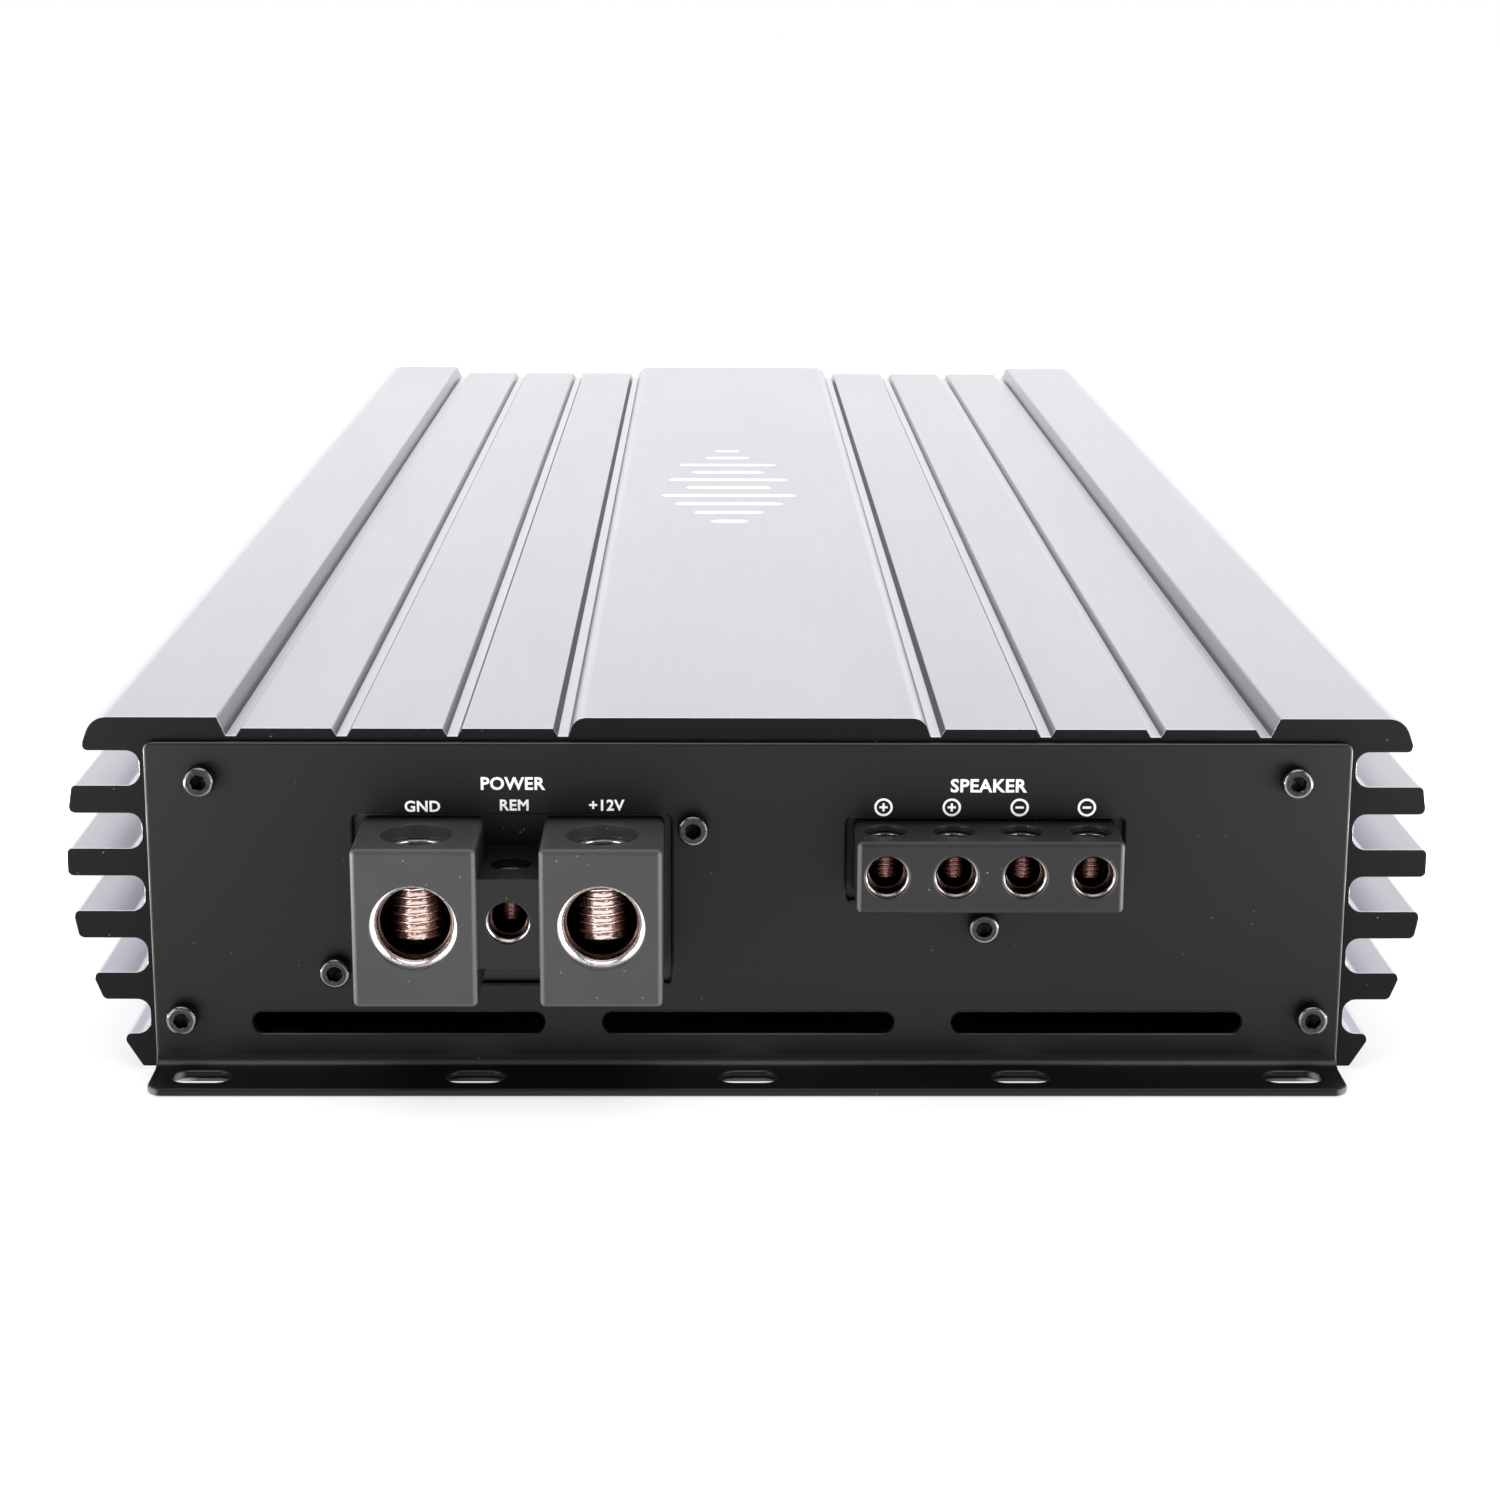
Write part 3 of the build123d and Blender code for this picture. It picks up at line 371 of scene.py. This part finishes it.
def new_piece(name, mesh, body, slot, *looks):
    """Object from a mesh in millimetres, riding on a CAD body."""
    mesh.transform(Matrix.Scale(MM, 4))
    for look in looks:
        mesh.materials.append(look)
    piece = bpy.data.objects.new(name, mesh)
    bpy.context.scene.collection.objects.link(piece)
    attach(piece, body)
    return piece


def even_normals(piece):
    """Large faces keep their own normals where they meet fine arcs."""
    weigh = piece.modifiers.new("even", "WEIGHTED_NORMAL")
    weigh.weight = 100
    weigh.keep_sharp = True


def soften(node, width, segments=2):
    """Small machined or moulded radius on every hard edge of a CAD node."""
    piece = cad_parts[node]
    weld = piece.modifiers.new("weld", "WELD")
    weld.merge_threshold = 1e-6
    flat = piece.modifiers.new("flat", "DECIMATE")
    flat.decimate_type = "DISSOLVE"
    flat.angle_limit = radians(0.2)
    edge = piece.modifiers.new("edge", "BEVEL")
    edge.width = width * MM
    edge.segments = segments
    edge.limit_method = "ANGLE"
    edge.angle_limit = radians(40)
    edge.use_clamp_overlap = False
    edge.loop_slide = False
    even_normals(piece)


def rounded_outline(corners, step=radians(9)):
    """Closed outline with each (x, z, radius) corner turned into an arc of points at most a step apart."""
    points = []
    for index, (x, z, radius) in enumerate(corners):
        corner = Vector((x, z))
        before = (Vector(corners[index - 1][:2]) - corner).normalized()
        after = (Vector(corners[(index + 1) % len(corners)][:2]) - corner).normalized()
        half = before.angle(after) / 2
        centre = corner + (before + after).normalized() * (radius / sin(half))
        start = corner + before * (radius / tan(half)) - centre
        end = corner + after * (radius / tan(half)) - centre
        first = atan2(start.y, start.x)
        turn = (atan2(end.y, end.x) - first + pi) % (2 * pi) - pi
        count = max(2, ceil(abs(turn) / step))
        for number in range(count + 1):
            angle = first + turn * number / count
            points.append(centre + radius * Vector((cos(angle), sin(angle))))
    return points


def inset(points, distance):
    """The outline moved inwards; points run anticlockwise seen from -Y."""
    moved = []
    for index, point in enumerate(points):
        before = (point - points[index - 1]).normalized()
        after = (points[(index + 1) % len(points)] - point).normalized()
        inwards = Vector((-before.y - after.y, before.x + after.x)).normalized()
        share = max(0.5, inwards.dot(Vector((-before.y, before.x))))
        moved.append(point + inwards * distance / share)
    return moved


def rings_mesh(name, rings, close_start=True, close_end=True):
    """Mesh through rings of equal length, each a list of points in millimetres."""
    count = len(rings[0])
    points = [point for ring in rings for point in ring]
    faces = []
    for row in range(len(rings) - 1):
        for column in range(count):
            after = (column + 1) % count
            faces.append((row * count + column, row * count + after,
                          (row + 1) * count + after, (row + 1) * count + column))
    if close_start:
        faces.append(tuple(reversed(range(count))))
    if close_end:
        faces.append(tuple((len(rings) - 1) * count + column for column in range(count)))
    mesh = bpy.data.meshes.new(name)
    mesh.from_pydata(points, [], faces)
    shape = bmesh.new()
    shape.from_mesh(mesh)
    bmesh.ops.recalc_face_normals(shape, faces=shape.faces)
    shape.to_mesh(mesh)
    shape.free()
    mesh.shade_smooth()
    mesh.set_sharp_from_angle(angle=radians(38))
    return mesh


def joined(name, meshes):
    """One mesh in place of several."""
    shape = bmesh.new()
    for mesh in meshes:
        shape.from_mesh(mesh)
        bpy.data.meshes.remove(mesh)
    made = bpy.data.meshes.new(name)
    shape.to_mesh(made)
    shape.free()
    return made


def turned(count, radius, z):
    """Ring about the Z axis at a height. Its radius is a number, or a function of the angle."""
    points = []
    for column in range(count):
        angle = 2 * pi * column / count
        reach = radius(angle) if callable(radius) else radius
        points.append(Vector((reach * cos(angle), reach * sin(angle), z)))
    return points


TIP = 0.02  # radius that a turned shape ends in


def hex_radius(across_flats):
    """Function from an angle to the radius of a hexagonal socket."""
    sector = pi / 3
    return lambda angle: across_flats / 2 / cos((angle + sector / 2) % sector - sector / 2)


def socket_rings(count, outer, across_flats, top, depth):
    """Chamfered hexagonal socket, from the rim of a head inwards and down to its drilled floor."""
    half = across_flats / 2
    hexagon = hex_radius(across_flats)
    mouth = max(half * 1.16, half + 0.2)
    return [
        turned(count, outer, top),
        turned(count, mouth, top),
        turned(count, hexagon, top - 0.12 * across_flats),
        turned(count, hexagon, top - depth),
        turned(count, TIP, top - depth - 0.35 * half),
    ]


# ---- extrusion --------------------------------------------------------------------------------------------

GROOVES, FIRST_GROOVE, GROOVE_PITCH = 4, 32.65, 19.33
# Half a groove's width at the middle plateau, at a band and at its bottom
PLATEAU_HALF, BAND_HALF, BOTTOM_HALF = 2.05, 1.75, 0.9
WALL_X, ROOT = 106.9, 2.3  # outside of the side walls, and the radius between them and the fins
FINS, FIN_TOP, FIN_PITCH, FIN_THICKNESS, FIN_TIP = 4, 52.9, 11.5, 5.05, 1.15
BELLY_X, BELLY_Z = sink_high.x / MM, 38.5  # widest point of the curve that the fins' tips follow
BELLY_ABOVE, BELLY_BELOW = 75.0, 62.0  # the curve's radius above and below that point
END_CHAMFER = 0.05
PAINT = 0.02  # the printed mark's thickness, which the top lies below the CAD's to make room for


def belly(z):
    """Half width of the fins at height z."""
    radius = BELLY_ABOVE if z > BELLY_Z else BELLY_BELOW
    return BELLY_X - radius + sqrt(radius**2 - (z - BELLY_Z) ** 2)


def extrusion_corners(top):
    """Right half of the cross-section as (x, z, radius), from the middle of the top outwards and round to the
    ceiling."""
    corners = []
    for number in range(GROOVES):
        centre = FIRST_GROOVE + GROOVE_PITCH * number
        if number == 0:
            corners.append((centre - PLATEAU_HALF, top, 3.0))
        else:
            corners.append((centre - BAND_HALF, BAND_Z, 0.3))
        corners.append((centre - BOTTOM_HALF, GROOVE_Z, 0.12))
        corners.append((centre + BOTTOM_HALF, GROOVE_Z, 0.12))
        if number < GROOVES - 1:
            corners.append((centre + BAND_HALF, BAND_Z, 0.3))
    corners += [(93.1, top, 0.5), (115.0, top, 4.1), (117.2, 59.2, 1.0), (WALL_X, 59.2, ROOT)]
    for number in range(FINS):
        high = FIN_TOP - FIN_PITCH * number
        low = high - FIN_THICKNESS
        corners += [(WALL_X, high, ROOT), (belly(high), high, FIN_TIP),
                    (belly(low), low, FIN_TIP), (WALL_X, low, ROOT)]
    foot = [(WALL_X, 7.0, ROOT), (112.4, 6.9, 1.2), (108.6, 0.7, 0.7), (103.9, 0.7, 0.2), (103.9, 3.5, 0.2)]
    inside = [(95.0, 3.5, 0.5), (95.0, 14.8, 1.0), (101.0, 14.8, 1.5), (101.0, 50.5, 1.5), (92.0, 50.5, 1.0),
              (92.0, 56.5, 1.5)]
    return corners + foot + inside


def make_heatsink():
    right = extrusion_corners(TOP_Z - PAINT)
    left = [(-x, z, radius) for x, z, radius in reversed(right)]
    outline = rounded_outline(right + left)
    outline.reverse()
    small = inset(outline, END_CHAMFER)
    stations = [
        (small, sink_start), (outline, sink_start + END_CHAMFER),
        (outline, sink_end - END_CHAMFER), (small, sink_end),
    ]
    rings = [[Vector((p.x, y, p.y)) for p in shape] for shape, y in stations]
    mesh = rings_mesh("heatsink_body", rings)
    count = len(outline)
    for face in mesh.polygons:
        if len(face.vertices) > 4:
            face.material_index = 1
        elif face.index // count != 1:
            face.material_index = 2
    piece = new_piece("heatsink_body", mesh, "chassis", "brushed_anodised", ANODISED, CUT_END, BRIGHT_EDGE)
    even_normals(piece)
    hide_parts("heatsink")


make_heatsink()


# ---- screws -----------------------------------------------------------------------------------------------

CAP_COUNT = 72
CAP_RADIUS, CAP_HEIGHT, CAP_KEY, CAP_SOCKET = 2.73, 3.0, 2.5, 1.6
SHANK_RADIUS, KNURL = 1.5, 0.07
DOME, DOME_STEPS = 0.55, 6  # radius round the top of the head, and the points that turn it
NECK = CAP_RADIUS - 0.04  # radius of the plain strip between the knurl and the dome


def cap_screw_mesh(name, length):
    """M3 socket cap screw: knurled head standing on the XY plane, shank pointing down."""
    def knurled(angle):
        return CAP_RADIUS - (KNURL if round(angle / (2 * pi / CAP_COUNT)) % 2 else 0.0)

    profile = [
        (SHANK_RADIUS - 0.3, -length), (SHANK_RADIUS, -length + 0.4), (SHANK_RADIUS, 0.0),
        (CAP_RADIUS - 0.25, 0.0), (CAP_RADIUS - 0.1, 0.15), (knurled, 0.35), (knurled, CAP_HEIGHT - 0.75),
        (NECK, CAP_HEIGHT - 0.62), (NECK, CAP_HEIGHT - DOME),
    ]
    dome = range(len(profile) - 1, len(profile) - 1 + DOME_STEPS)
    for step in range(1, DOME_STEPS + 1):
        angle = step * pi / 2 / DOME_STEPS
        profile.append((NECK - DOME * (1 - cos(angle)), CAP_HEIGHT - DOME + DOME * sin(angle)))
    rings = [turned(CAP_COUNT, radius, z) for radius, z in profile]
    mouth = len(rings) + 1
    rings += socket_rings(CAP_COUNT, CAP_RADIUS - 0.7, CAP_KEY, CAP_HEIGHT, CAP_SOCKET)
    mesh = rings_mesh(name, rings)
    # The dome gets the worn and highlighted rim metal, the socket's mouth a painted glint and its inside
    # painted shade.
    for face in mesh.polygons:
        row = face.index // CAP_COUNT
        if row in dome:
            face.material_index = 1
        elif row == mouth:
            face.material_index = 2
        elif row > mouth:
            face.material_index = 3
    return mesh


def place_caps(name, node, places, face, out, length):
    """Cap screws on an end panel, each turned differently. Out is -1 for the power end and 1 for the other."""
    meshes = []
    for number, (x, z) in enumerate(places):
        mesh = cap_screw_mesh(name, length)
        spin = Matrix.Rotation(radians(FIRST_SPIN + SPIN_STEP * number), 4, "Z")
        lean = Matrix.Rotation(radians(90 if out < 0 else -90), 4, "X")
        mesh.transform(Matrix.Translation((x, face, z)) @ lean @ spin)
        meshes.append(mesh)
    looks = (BLACK_SCREW, WORN_AND_HIGHLIGHT_RIM, BRIGHT_EDGE, SHADED_SOCKET)
    piece = new_piece(name, joined(name, meshes), "chassis", "black_screw", *looks)
    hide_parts(node)


FIRST_SPIN, SPIN_STEP = 17, 41  # degrees
CORNERS = [(-95.95, 54.5), (95.95, 54.5), (-100.65, 10.75), (100.65, 10.75)]
HOUSING_SCREWS = [(-73.25, 19.5), (-9.85, 45.8), (41.6, 27.9)]
place_caps("power_panel_caps", "power_panel_screws", CORNERS, power_face, -1, 10.0)
place_caps("signal_panel_caps", "signal_panel_screws", CORNERS, signal_face, 1, 10.0)
place_caps("terminal_caps", "terminal_housing_screws", HOUSING_SCREWS, power_face, -1, 8.0)

SCREW_COUNT = 48
ROWS_PER_TURN = 10
THREAD_SHARE = 0.58  # depth of a thread as a share of its pitch


def set_screw_mesh(name, radius, pitch, length, key):
    """Threaded set screw with a cupped cone point at Z 0 and a hexagonal socket of size key on top."""
    point, taper, crown = 0.5 * radius, 0.4 * radius, 0.12 * radius
    depth = THREAD_SHARE * pitch

    def thread(z):
        def radius_at(angle):
            phase = (z / pitch - angle / (2 * pi)) % 1.0
            ridge = min(1.0, max(0.0, 1.25 * (1 - abs(2 * phase - 1)) - 0.06))
            rim = radius - depth * (1 - ridge)
            cone = point + (radius - point) * z / taper
            top = radius - (z - length + crown)
            return min(rim, cone, top)
        return radius_at

    rows = ceil(length / pitch * ROWS_PER_TURN)
    rings = [turned(SCREW_COUNT, TIP, 0.25 * point), turned(SCREW_COUNT, 0.7 * point, 0.0)]
    for row in range(rows + 1):
        z = length * row / rows
        rings.append(turned(SCREW_COUNT, thread(z), z))
    rings += socket_rings(SCREW_COUNT, radius - crown - depth, key, length, key)
    return rings_mesh(name, rings)


# Each terminal's socket size and thread pitch
POWER_TERMINALS = {name: (5.0, 1.5) for name in ("ground", "battery")}
SMALL_TERMINALS = {name: (2.5, 0.8) for name in ("remote", "speaker_1", "speaker_2", "speaker_3", "speaker_4")}
TERMINALS = {**POWER_TERMINALS, **SMALL_TERMINALS}
SET_SCREW_SPIN = 23  # degrees from one set screw to the next
for number, (terminal, (key, pitch)) in enumerate(TERMINALS.items()):
    node = f"{terminal}_set_screw"
    low, high = (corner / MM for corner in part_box(node))
    middle = (low + high) / 2
    name = f"{terminal}_threaded_screw"
    mesh = set_screw_mesh(name, (high.x - low.x) / 2, pitch, high.z - low.z, key)
    spin = Matrix.Rotation(radians(SET_SCREW_SPIN * number), 4, "Z")
    mesh.transform(Matrix.Translation((middle.x, middle.y, low.z)) @ spin)
    # The small screws take the darker copy, painted shade for their deep bores.
    look = SET_SCREW if terminal in POWER_TERMINALS else SHADED_SMALL_SCREW
    piece = new_piece(name, mesh, node, "set_screw", look)
    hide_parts(node)


# ---- CAD nodes that keep their shape ------------------------------------------------------------------------

def give_look(node, look):
    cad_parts[node].material_slots[0].material = look


for node in ("power_end_panel", "signal_end_panel"):
    soften(node, 0.45, 3)
# A wider radius would run from the remote screw's hole into the wall of its pocket.
soften("power_terminal_housing", 0.08)
soften("speaker_terminal_housing", 0.3)
give_look("speaker_terminal_housing", SPEAKER_MOULDING)
soften("bottom_cover", 0.2)

POWER_METAL = terminal_metal("power_terminal_metal", power_face - 17.2, 44.8, 0.88)
REMOTE_METAL = terminal_metal("remote_terminal_metal", power_face - 17.3, 40.3, 0.5)
SPEAKER_METAL = terminal_metal("speaker_terminal_metal", power_face - 12.3, 45.6, 0.45)
for terminal in TERMINALS:
    node = f"{terminal}_terminal_body"
    if terminal in POWER_TERMINALS:
        soften(node, 0.35)
        give_look(node, POWER_METAL)
    else:
        soften(node, 0.12)
        give_look(node, REMOTE_METAL if terminal == "remote" else SPEAKER_METAL)


# ---- printing ---------------------------------------------------------------------------------------------

LIFT = 0.02  # thickness of the ink on the end panels
CAPITAL = 0.73  # height of a capital letter as a share of Blender's text size
RING_POINTS, RING_RADIUS, RING_STROKE = 36, 1.62, 0.4


def panel_face(facing):
    """Place along Y of the power end's outside for -1, and of the signal end's for 1."""
    return power_face if facing < 0 else signal_face


def mesh_of(name, shape):
    """Mesh with its faces turned outwards from a bmesh, which is freed."""
    bmesh.ops.recalc_face_normals(shape, faces=shape.faces)
    mesh = bpy.data.meshes.new(name)
    shape.to_mesh(mesh)
    shape.free()
    return mesh


def thicken(shape, step):
    """Turns flat faces into closed solids that are this step thick. The extrude operator isn't used because it
    lists its faces in another order each run."""
    flat = list(shape.faces)
    rims = [tuple(edge.verts) for edge in shape.edges if edge.is_boundary]
    far = {vert: shape.verts.new(vert.co + Vector(step)) for vert in list(shape.verts)}
    for face in flat:
        shape.faces.new([far[vert] for vert in face.verts])
    for first, second in rims:
        shape.faces.new((first, second, far[second], far[first]))


def flat_text(name, words, x, z, height, facing):
    """Printed words standing on a panel: facing is -1 for the power end and 1 for the signal end."""
    curve = bpy.data.curves.new(name, "FONT")
    curve.body = words
    curve.align_x, curve.align_y = "CENTER", "CENTER"
    curve.size = height / CAPITAL
    curve.offset = 0.035 * height
    curve.space_character = 1.05
    curve.extrude = LIFT / 2
    curve.resolution_u = 3
    made = bpy.data.objects.new(name, curve)
    bpy.context.scene.collection.objects.link(made)
    bpy.context.view_layer.update()
    mesh = bpy.data.meshes.new_from_object(made)
    bpy.data.objects.remove(made)
    bpy.data.curves.remove(curve)
    lean = Matrix.Rotation(radians(90), 4, "X")
    turn = Matrix.Rotation(0.0 if facing < 0 else pi, 4, "Z")
    mesh.transform(Matrix.Translation((x, panel_face(facing) + facing * LIFT / 2, z)) @ turn @ lean)
    return mesh


def flat_ring(name, x, z, bars, facing):
    """Printed ring with a horizontal bar, and a vertical one where bars is 2."""
    shape = bmesh.new()
    face = panel_face(facing) + facing * LIFT
    loops = []
    for size in (RING_RADIUS - RING_STROKE, RING_RADIUS):
        angles = [2 * pi * n / RING_POINTS for n in range(RING_POINTS)]
        loops.append([shape.verts.new((x + size * cos(a), face, z + size * sin(a))) for a in angles])
    for n in range(RING_POINTS):
        after = (n + 1) % RING_POINTS
        shape.faces.new((loops[0][n], loops[1][n], loops[1][after], loops[0][after]))
    reach = RING_RADIUS - 2.2 * RING_STROKE
    for bar in range(bars):
        wide, tall = ((reach, RING_STROKE / 2), (RING_STROKE / 2, reach))[bar]
        spots = ((-wide, -tall), (wide, -tall), (wide, tall), (-wide, tall))
        below = 0.002 * bar  # keeps the two bars' faces apart where they cross
        shape.faces.new([shape.verts.new((x + u, face - facing * below, z + v)) for u, v in spots])
    thicken(shape, (0.0, -facing * LIFT, 0.0))
    return mesh_of(name, shape)


def print_labels(name, words, rings, facing):
    """One piece from words as (text, x, z, height) and rings as (x, z, bars)."""
    meshes = [flat_text(name, text, x, z, height, facing) for text, x, z, height in words]
    meshes += [flat_ring(name, x, z, bars, facing) for x, z, bars in rings]
    new_piece(name, joined(name, meshes), "chassis", "indicator", PRINT)


power_words = [
    ("POWER", -41.55, 53.6, 2.3), ("GND", -57.35, 49.45, 2.0), ("REM", -41.25, 49.7, 2.0),
    ("+12V", -25.1, 49.7, 2.0), ("SPEAKER", 41.95, 53.3, 2.4),
]
polarity = [(23.6, 49.5, 2), (35.6, 49.5, 2), (47.55, 49.5, 1), (59.4, 49.5, 1)]
print_labels("power_end_printing", power_words, polarity, -1)

signal_words = [
    ("INPUT", -80.0, 45.5, 2.3), ("OUTPUT", -48.0, 45.5, 2.3), ("L", -88.0, 28.2, 2.0), ("R", -72.0, 28.2, 2.0),
    ("L", -56.0, 28.2, 2.0), ("R", -40.0, 28.2, 2.0), ("REMOTE", -20.0, 28.2, 1.8), ("POWER", -6.0, 49.6, 1.6),
    ("PROTECT", 6.0, 49.6, 1.6), ("LEVEL", 0.0, 28.2, 1.8), ("LOW PASS", 18.0, 28.2, 1.8),
    ("SUBSONIC", 36.0, 28.2, 1.8), ("BASS", 54.0, 28.2, 1.8), ("MODE", 72.0, 28.2, 1.8),
    ("PHASE", 88.0, 28.2, 1.8), ("0", 69.0, 40.6, 1.6), ("1", 75.0, 40.6, 1.6), ("0", 85.0, 40.6, 1.6),
    ("180", 91.0, 40.6, 1.6),
]
print_labels("signal_end_printing", signal_words, [], 1)


MARK_X, MARK_START, MARK_PITCH = -2.5, -47.0, 12.4
MARK_HALF, MARK_POINTS = 2.1, 13  # half a bar's width, and the points round each of its ends
MARK_LENGTHS = (9.0, 17.0, 27.0, 34.0, 22.0, 31.0, 19.0, 26.0, 12.0, 7.0)


def make_mark():
    """Generic sound-level mark: a row of round-ended bars across the middle band."""
    shape = bmesh.new()
    for number, length in enumerate(MARK_LENGTHS):
        centre = Vector((MARK_X, MARK_START + MARK_PITCH * number, TOP_Z))
        spots = []
        for end in (1, -1):
            for n in range(MARK_POINTS):
                angle = pi * n / (MARK_POINTS - 1) - pi / 2
                reach = length / 2 - MARK_HALF + MARK_HALF * cos(angle)
                spots.append(centre + end * Vector((reach, MARK_HALF * sin(angle), 0.0)))
        shape.faces.new([shape.verts.new(spot) for spot in spots])
    thicken(shape, (0.0, 0.0, -PAINT))
    new_piece("level_mark", mesh_of("level_mark", shape), "chassis", "indicator", MARK)


make_mark()


# ---- stage ------------------------------------------------------------------------------------------------

FLOOR_REACH = 12.0  # metres
FRONT_GLOW, BACK_GLOW = 0.3, 2.3  # strength of the world in front of the object and behind it, near the horizon
SKY_SHARE = 0.3  # share of that strength higher up


def make_floor():
    mesh = bpy.data.meshes.new("floor")
    corners = [(x * FLOOR_REACH, y * FLOOR_REACH, 0.0) for x, y in ((-1, -1), (1, -1), (1, 1), (-1, 1))]
    mesh.from_pydata(corners, [], [(0, 1, 2, 3)])
    mesh.materials.append(floor_look())
    floor = bpy.data.objects.new("floor", mesh)
    bpy.context.scene.collection.objects.link(floor)


def make_sun(strength, spread):
    """Large overhead soft light: a sun straight above, whose disc is this many degrees wide."""
    data = bpy.data.lights.new("overhead", "SUN")
    data.energy = strength
    data.angle = radians(spread)
    light = bpy.data.objects.new("overhead", data)
    bpy.context.scene.collection.objects.link(light)


def make_soft_box(name, place, aim, across, tall, radiance):
    """Rectangular light of a given radiance at a place in metres, turned to a point."""
    data = bpy.data.lights.new(name, "AREA")
    data.shape, data.size, data.size_y = "RECTANGLE", across, tall
    data.energy = radiance * across * tall * pi
    light = bpy.data.objects.new(name, data)
    bpy.context.scene.collection.objects.link(light)
    light.location = place
    light.rotation_euler = (Vector(aim) - light.location).to_track_quat("-Z", "Y").to_euler()
    light.visible_camera = False


def make_world():
    """White where the camera sees it. As light it is brightest low behind the object, and dimmer elsewhere."""
    world = bpy.data.worlds.new("studio")
    world.use_nodes = True
    tree = world.node_tree
    tree.nodes.clear()

    def add(kind, inputs, **settings):
        node = tree.nodes.new(f"ShaderNode{kind}")
        for name, value in settings.items():
            setattr(node, name, value)
        for name, value in inputs.items():
            if isinstance(value, bpy.types.NodeSocket):
                tree.links.new(value, node.inputs[name])
            else:
                node.inputs[name].default_value = value
        return node

    def ramp(value, low, high, to_low, to_high):
        return add("MapRange", {"Value": value, "From Min": low, "From Max": high, "To Min": to_low,
                                "To Max": to_high}, interpolation_type="SMOOTHSTEP").outputs["Result"]

    place = add("TexCoord", {}).outputs["Generated"]
    parts = add("SeparateXYZ", {"Vector": place})
    wall = ramp(parts.outputs["Y"], -0.5, 0.85, FRONT_GLOW, BACK_GLOW)
    height = ramp(parts.outputs["Z"], -0.02, 0.42, 1.0, SKY_SHARE)
    lit = add("Math", {0: wall, 1: height}, operation="MULTIPLY").outputs[0]
    seen = add("LightPath", {}).outputs["Is Camera Ray"]
    strength = add("Mix", {0: seen, 2: lit, 3: 1.0}).outputs[0]
    back = add("Background", {"Color": grey(1.0), "Strength": strength})
    add("OutputWorld", {"Surface": back.outputs[0]})
    bpy.context.scene.world = world


# The camera that the photograph was taken with, worked out from the object's edges in it
CAMERA_PLACE = Vector((-6.57, -743.37, 187.89)) * MM
CAMERA_TURN = [radians(angle) for angle in (76.1438, -0.2738, -0.6955)]
CAMERA_LENS, CAMERA_SENSOR, CAMERA_SHIFT = 70.478, 36.0, -0.02


def make_camera():
    data = bpy.data.cameras.new("camera")
    data.lens, data.sensor_width = CAMERA_LENS, CAMERA_SENSOR
    data.shift_y = CAMERA_SHIFT
    data.clip_start, data.clip_end = 0.01, 100.0
    camera = bpy.data.objects.new("camera", data)
    bpy.context.scene.collection.objects.link(camera)
    camera.location, camera.rotation_euler = CAMERA_PLACE, CAMERA_TURN
    bpy.context.scene.camera = camera


make_floor()
make_world()
make_sun(strength=2.3, spread=64)
PANEL_SPOT = (0.0, -0.25, 0.03)  # metres: a point just behind the power end's face
for side, sign in (("left", -1), ("right", 1)):
    make_soft_box(f"{side}_box", (1.08 * sign, -0.98, 0.42), PANEL_SPOT, 0.6, 0.84, radiance=5.5)
    spot = Vector((0.38 * sign, -0.35, 0.004))
    make_soft_box(f"{side}_floor_box", spot, spot + Vector((0.0, 0.0, 1.0)), 0.36, 0.5, radiance=14.0)
make_soft_box("front_box", (0.0, -1.35, 0.95), PANEL_SPOT, 1.5, 0.12, radiance=4.0)
make_camera()

scene = bpy.context.scene
scene.view_settings.view_transform = "Standard"
scene.view_settings.look = "None"
scene.cycles.use_denoising = True
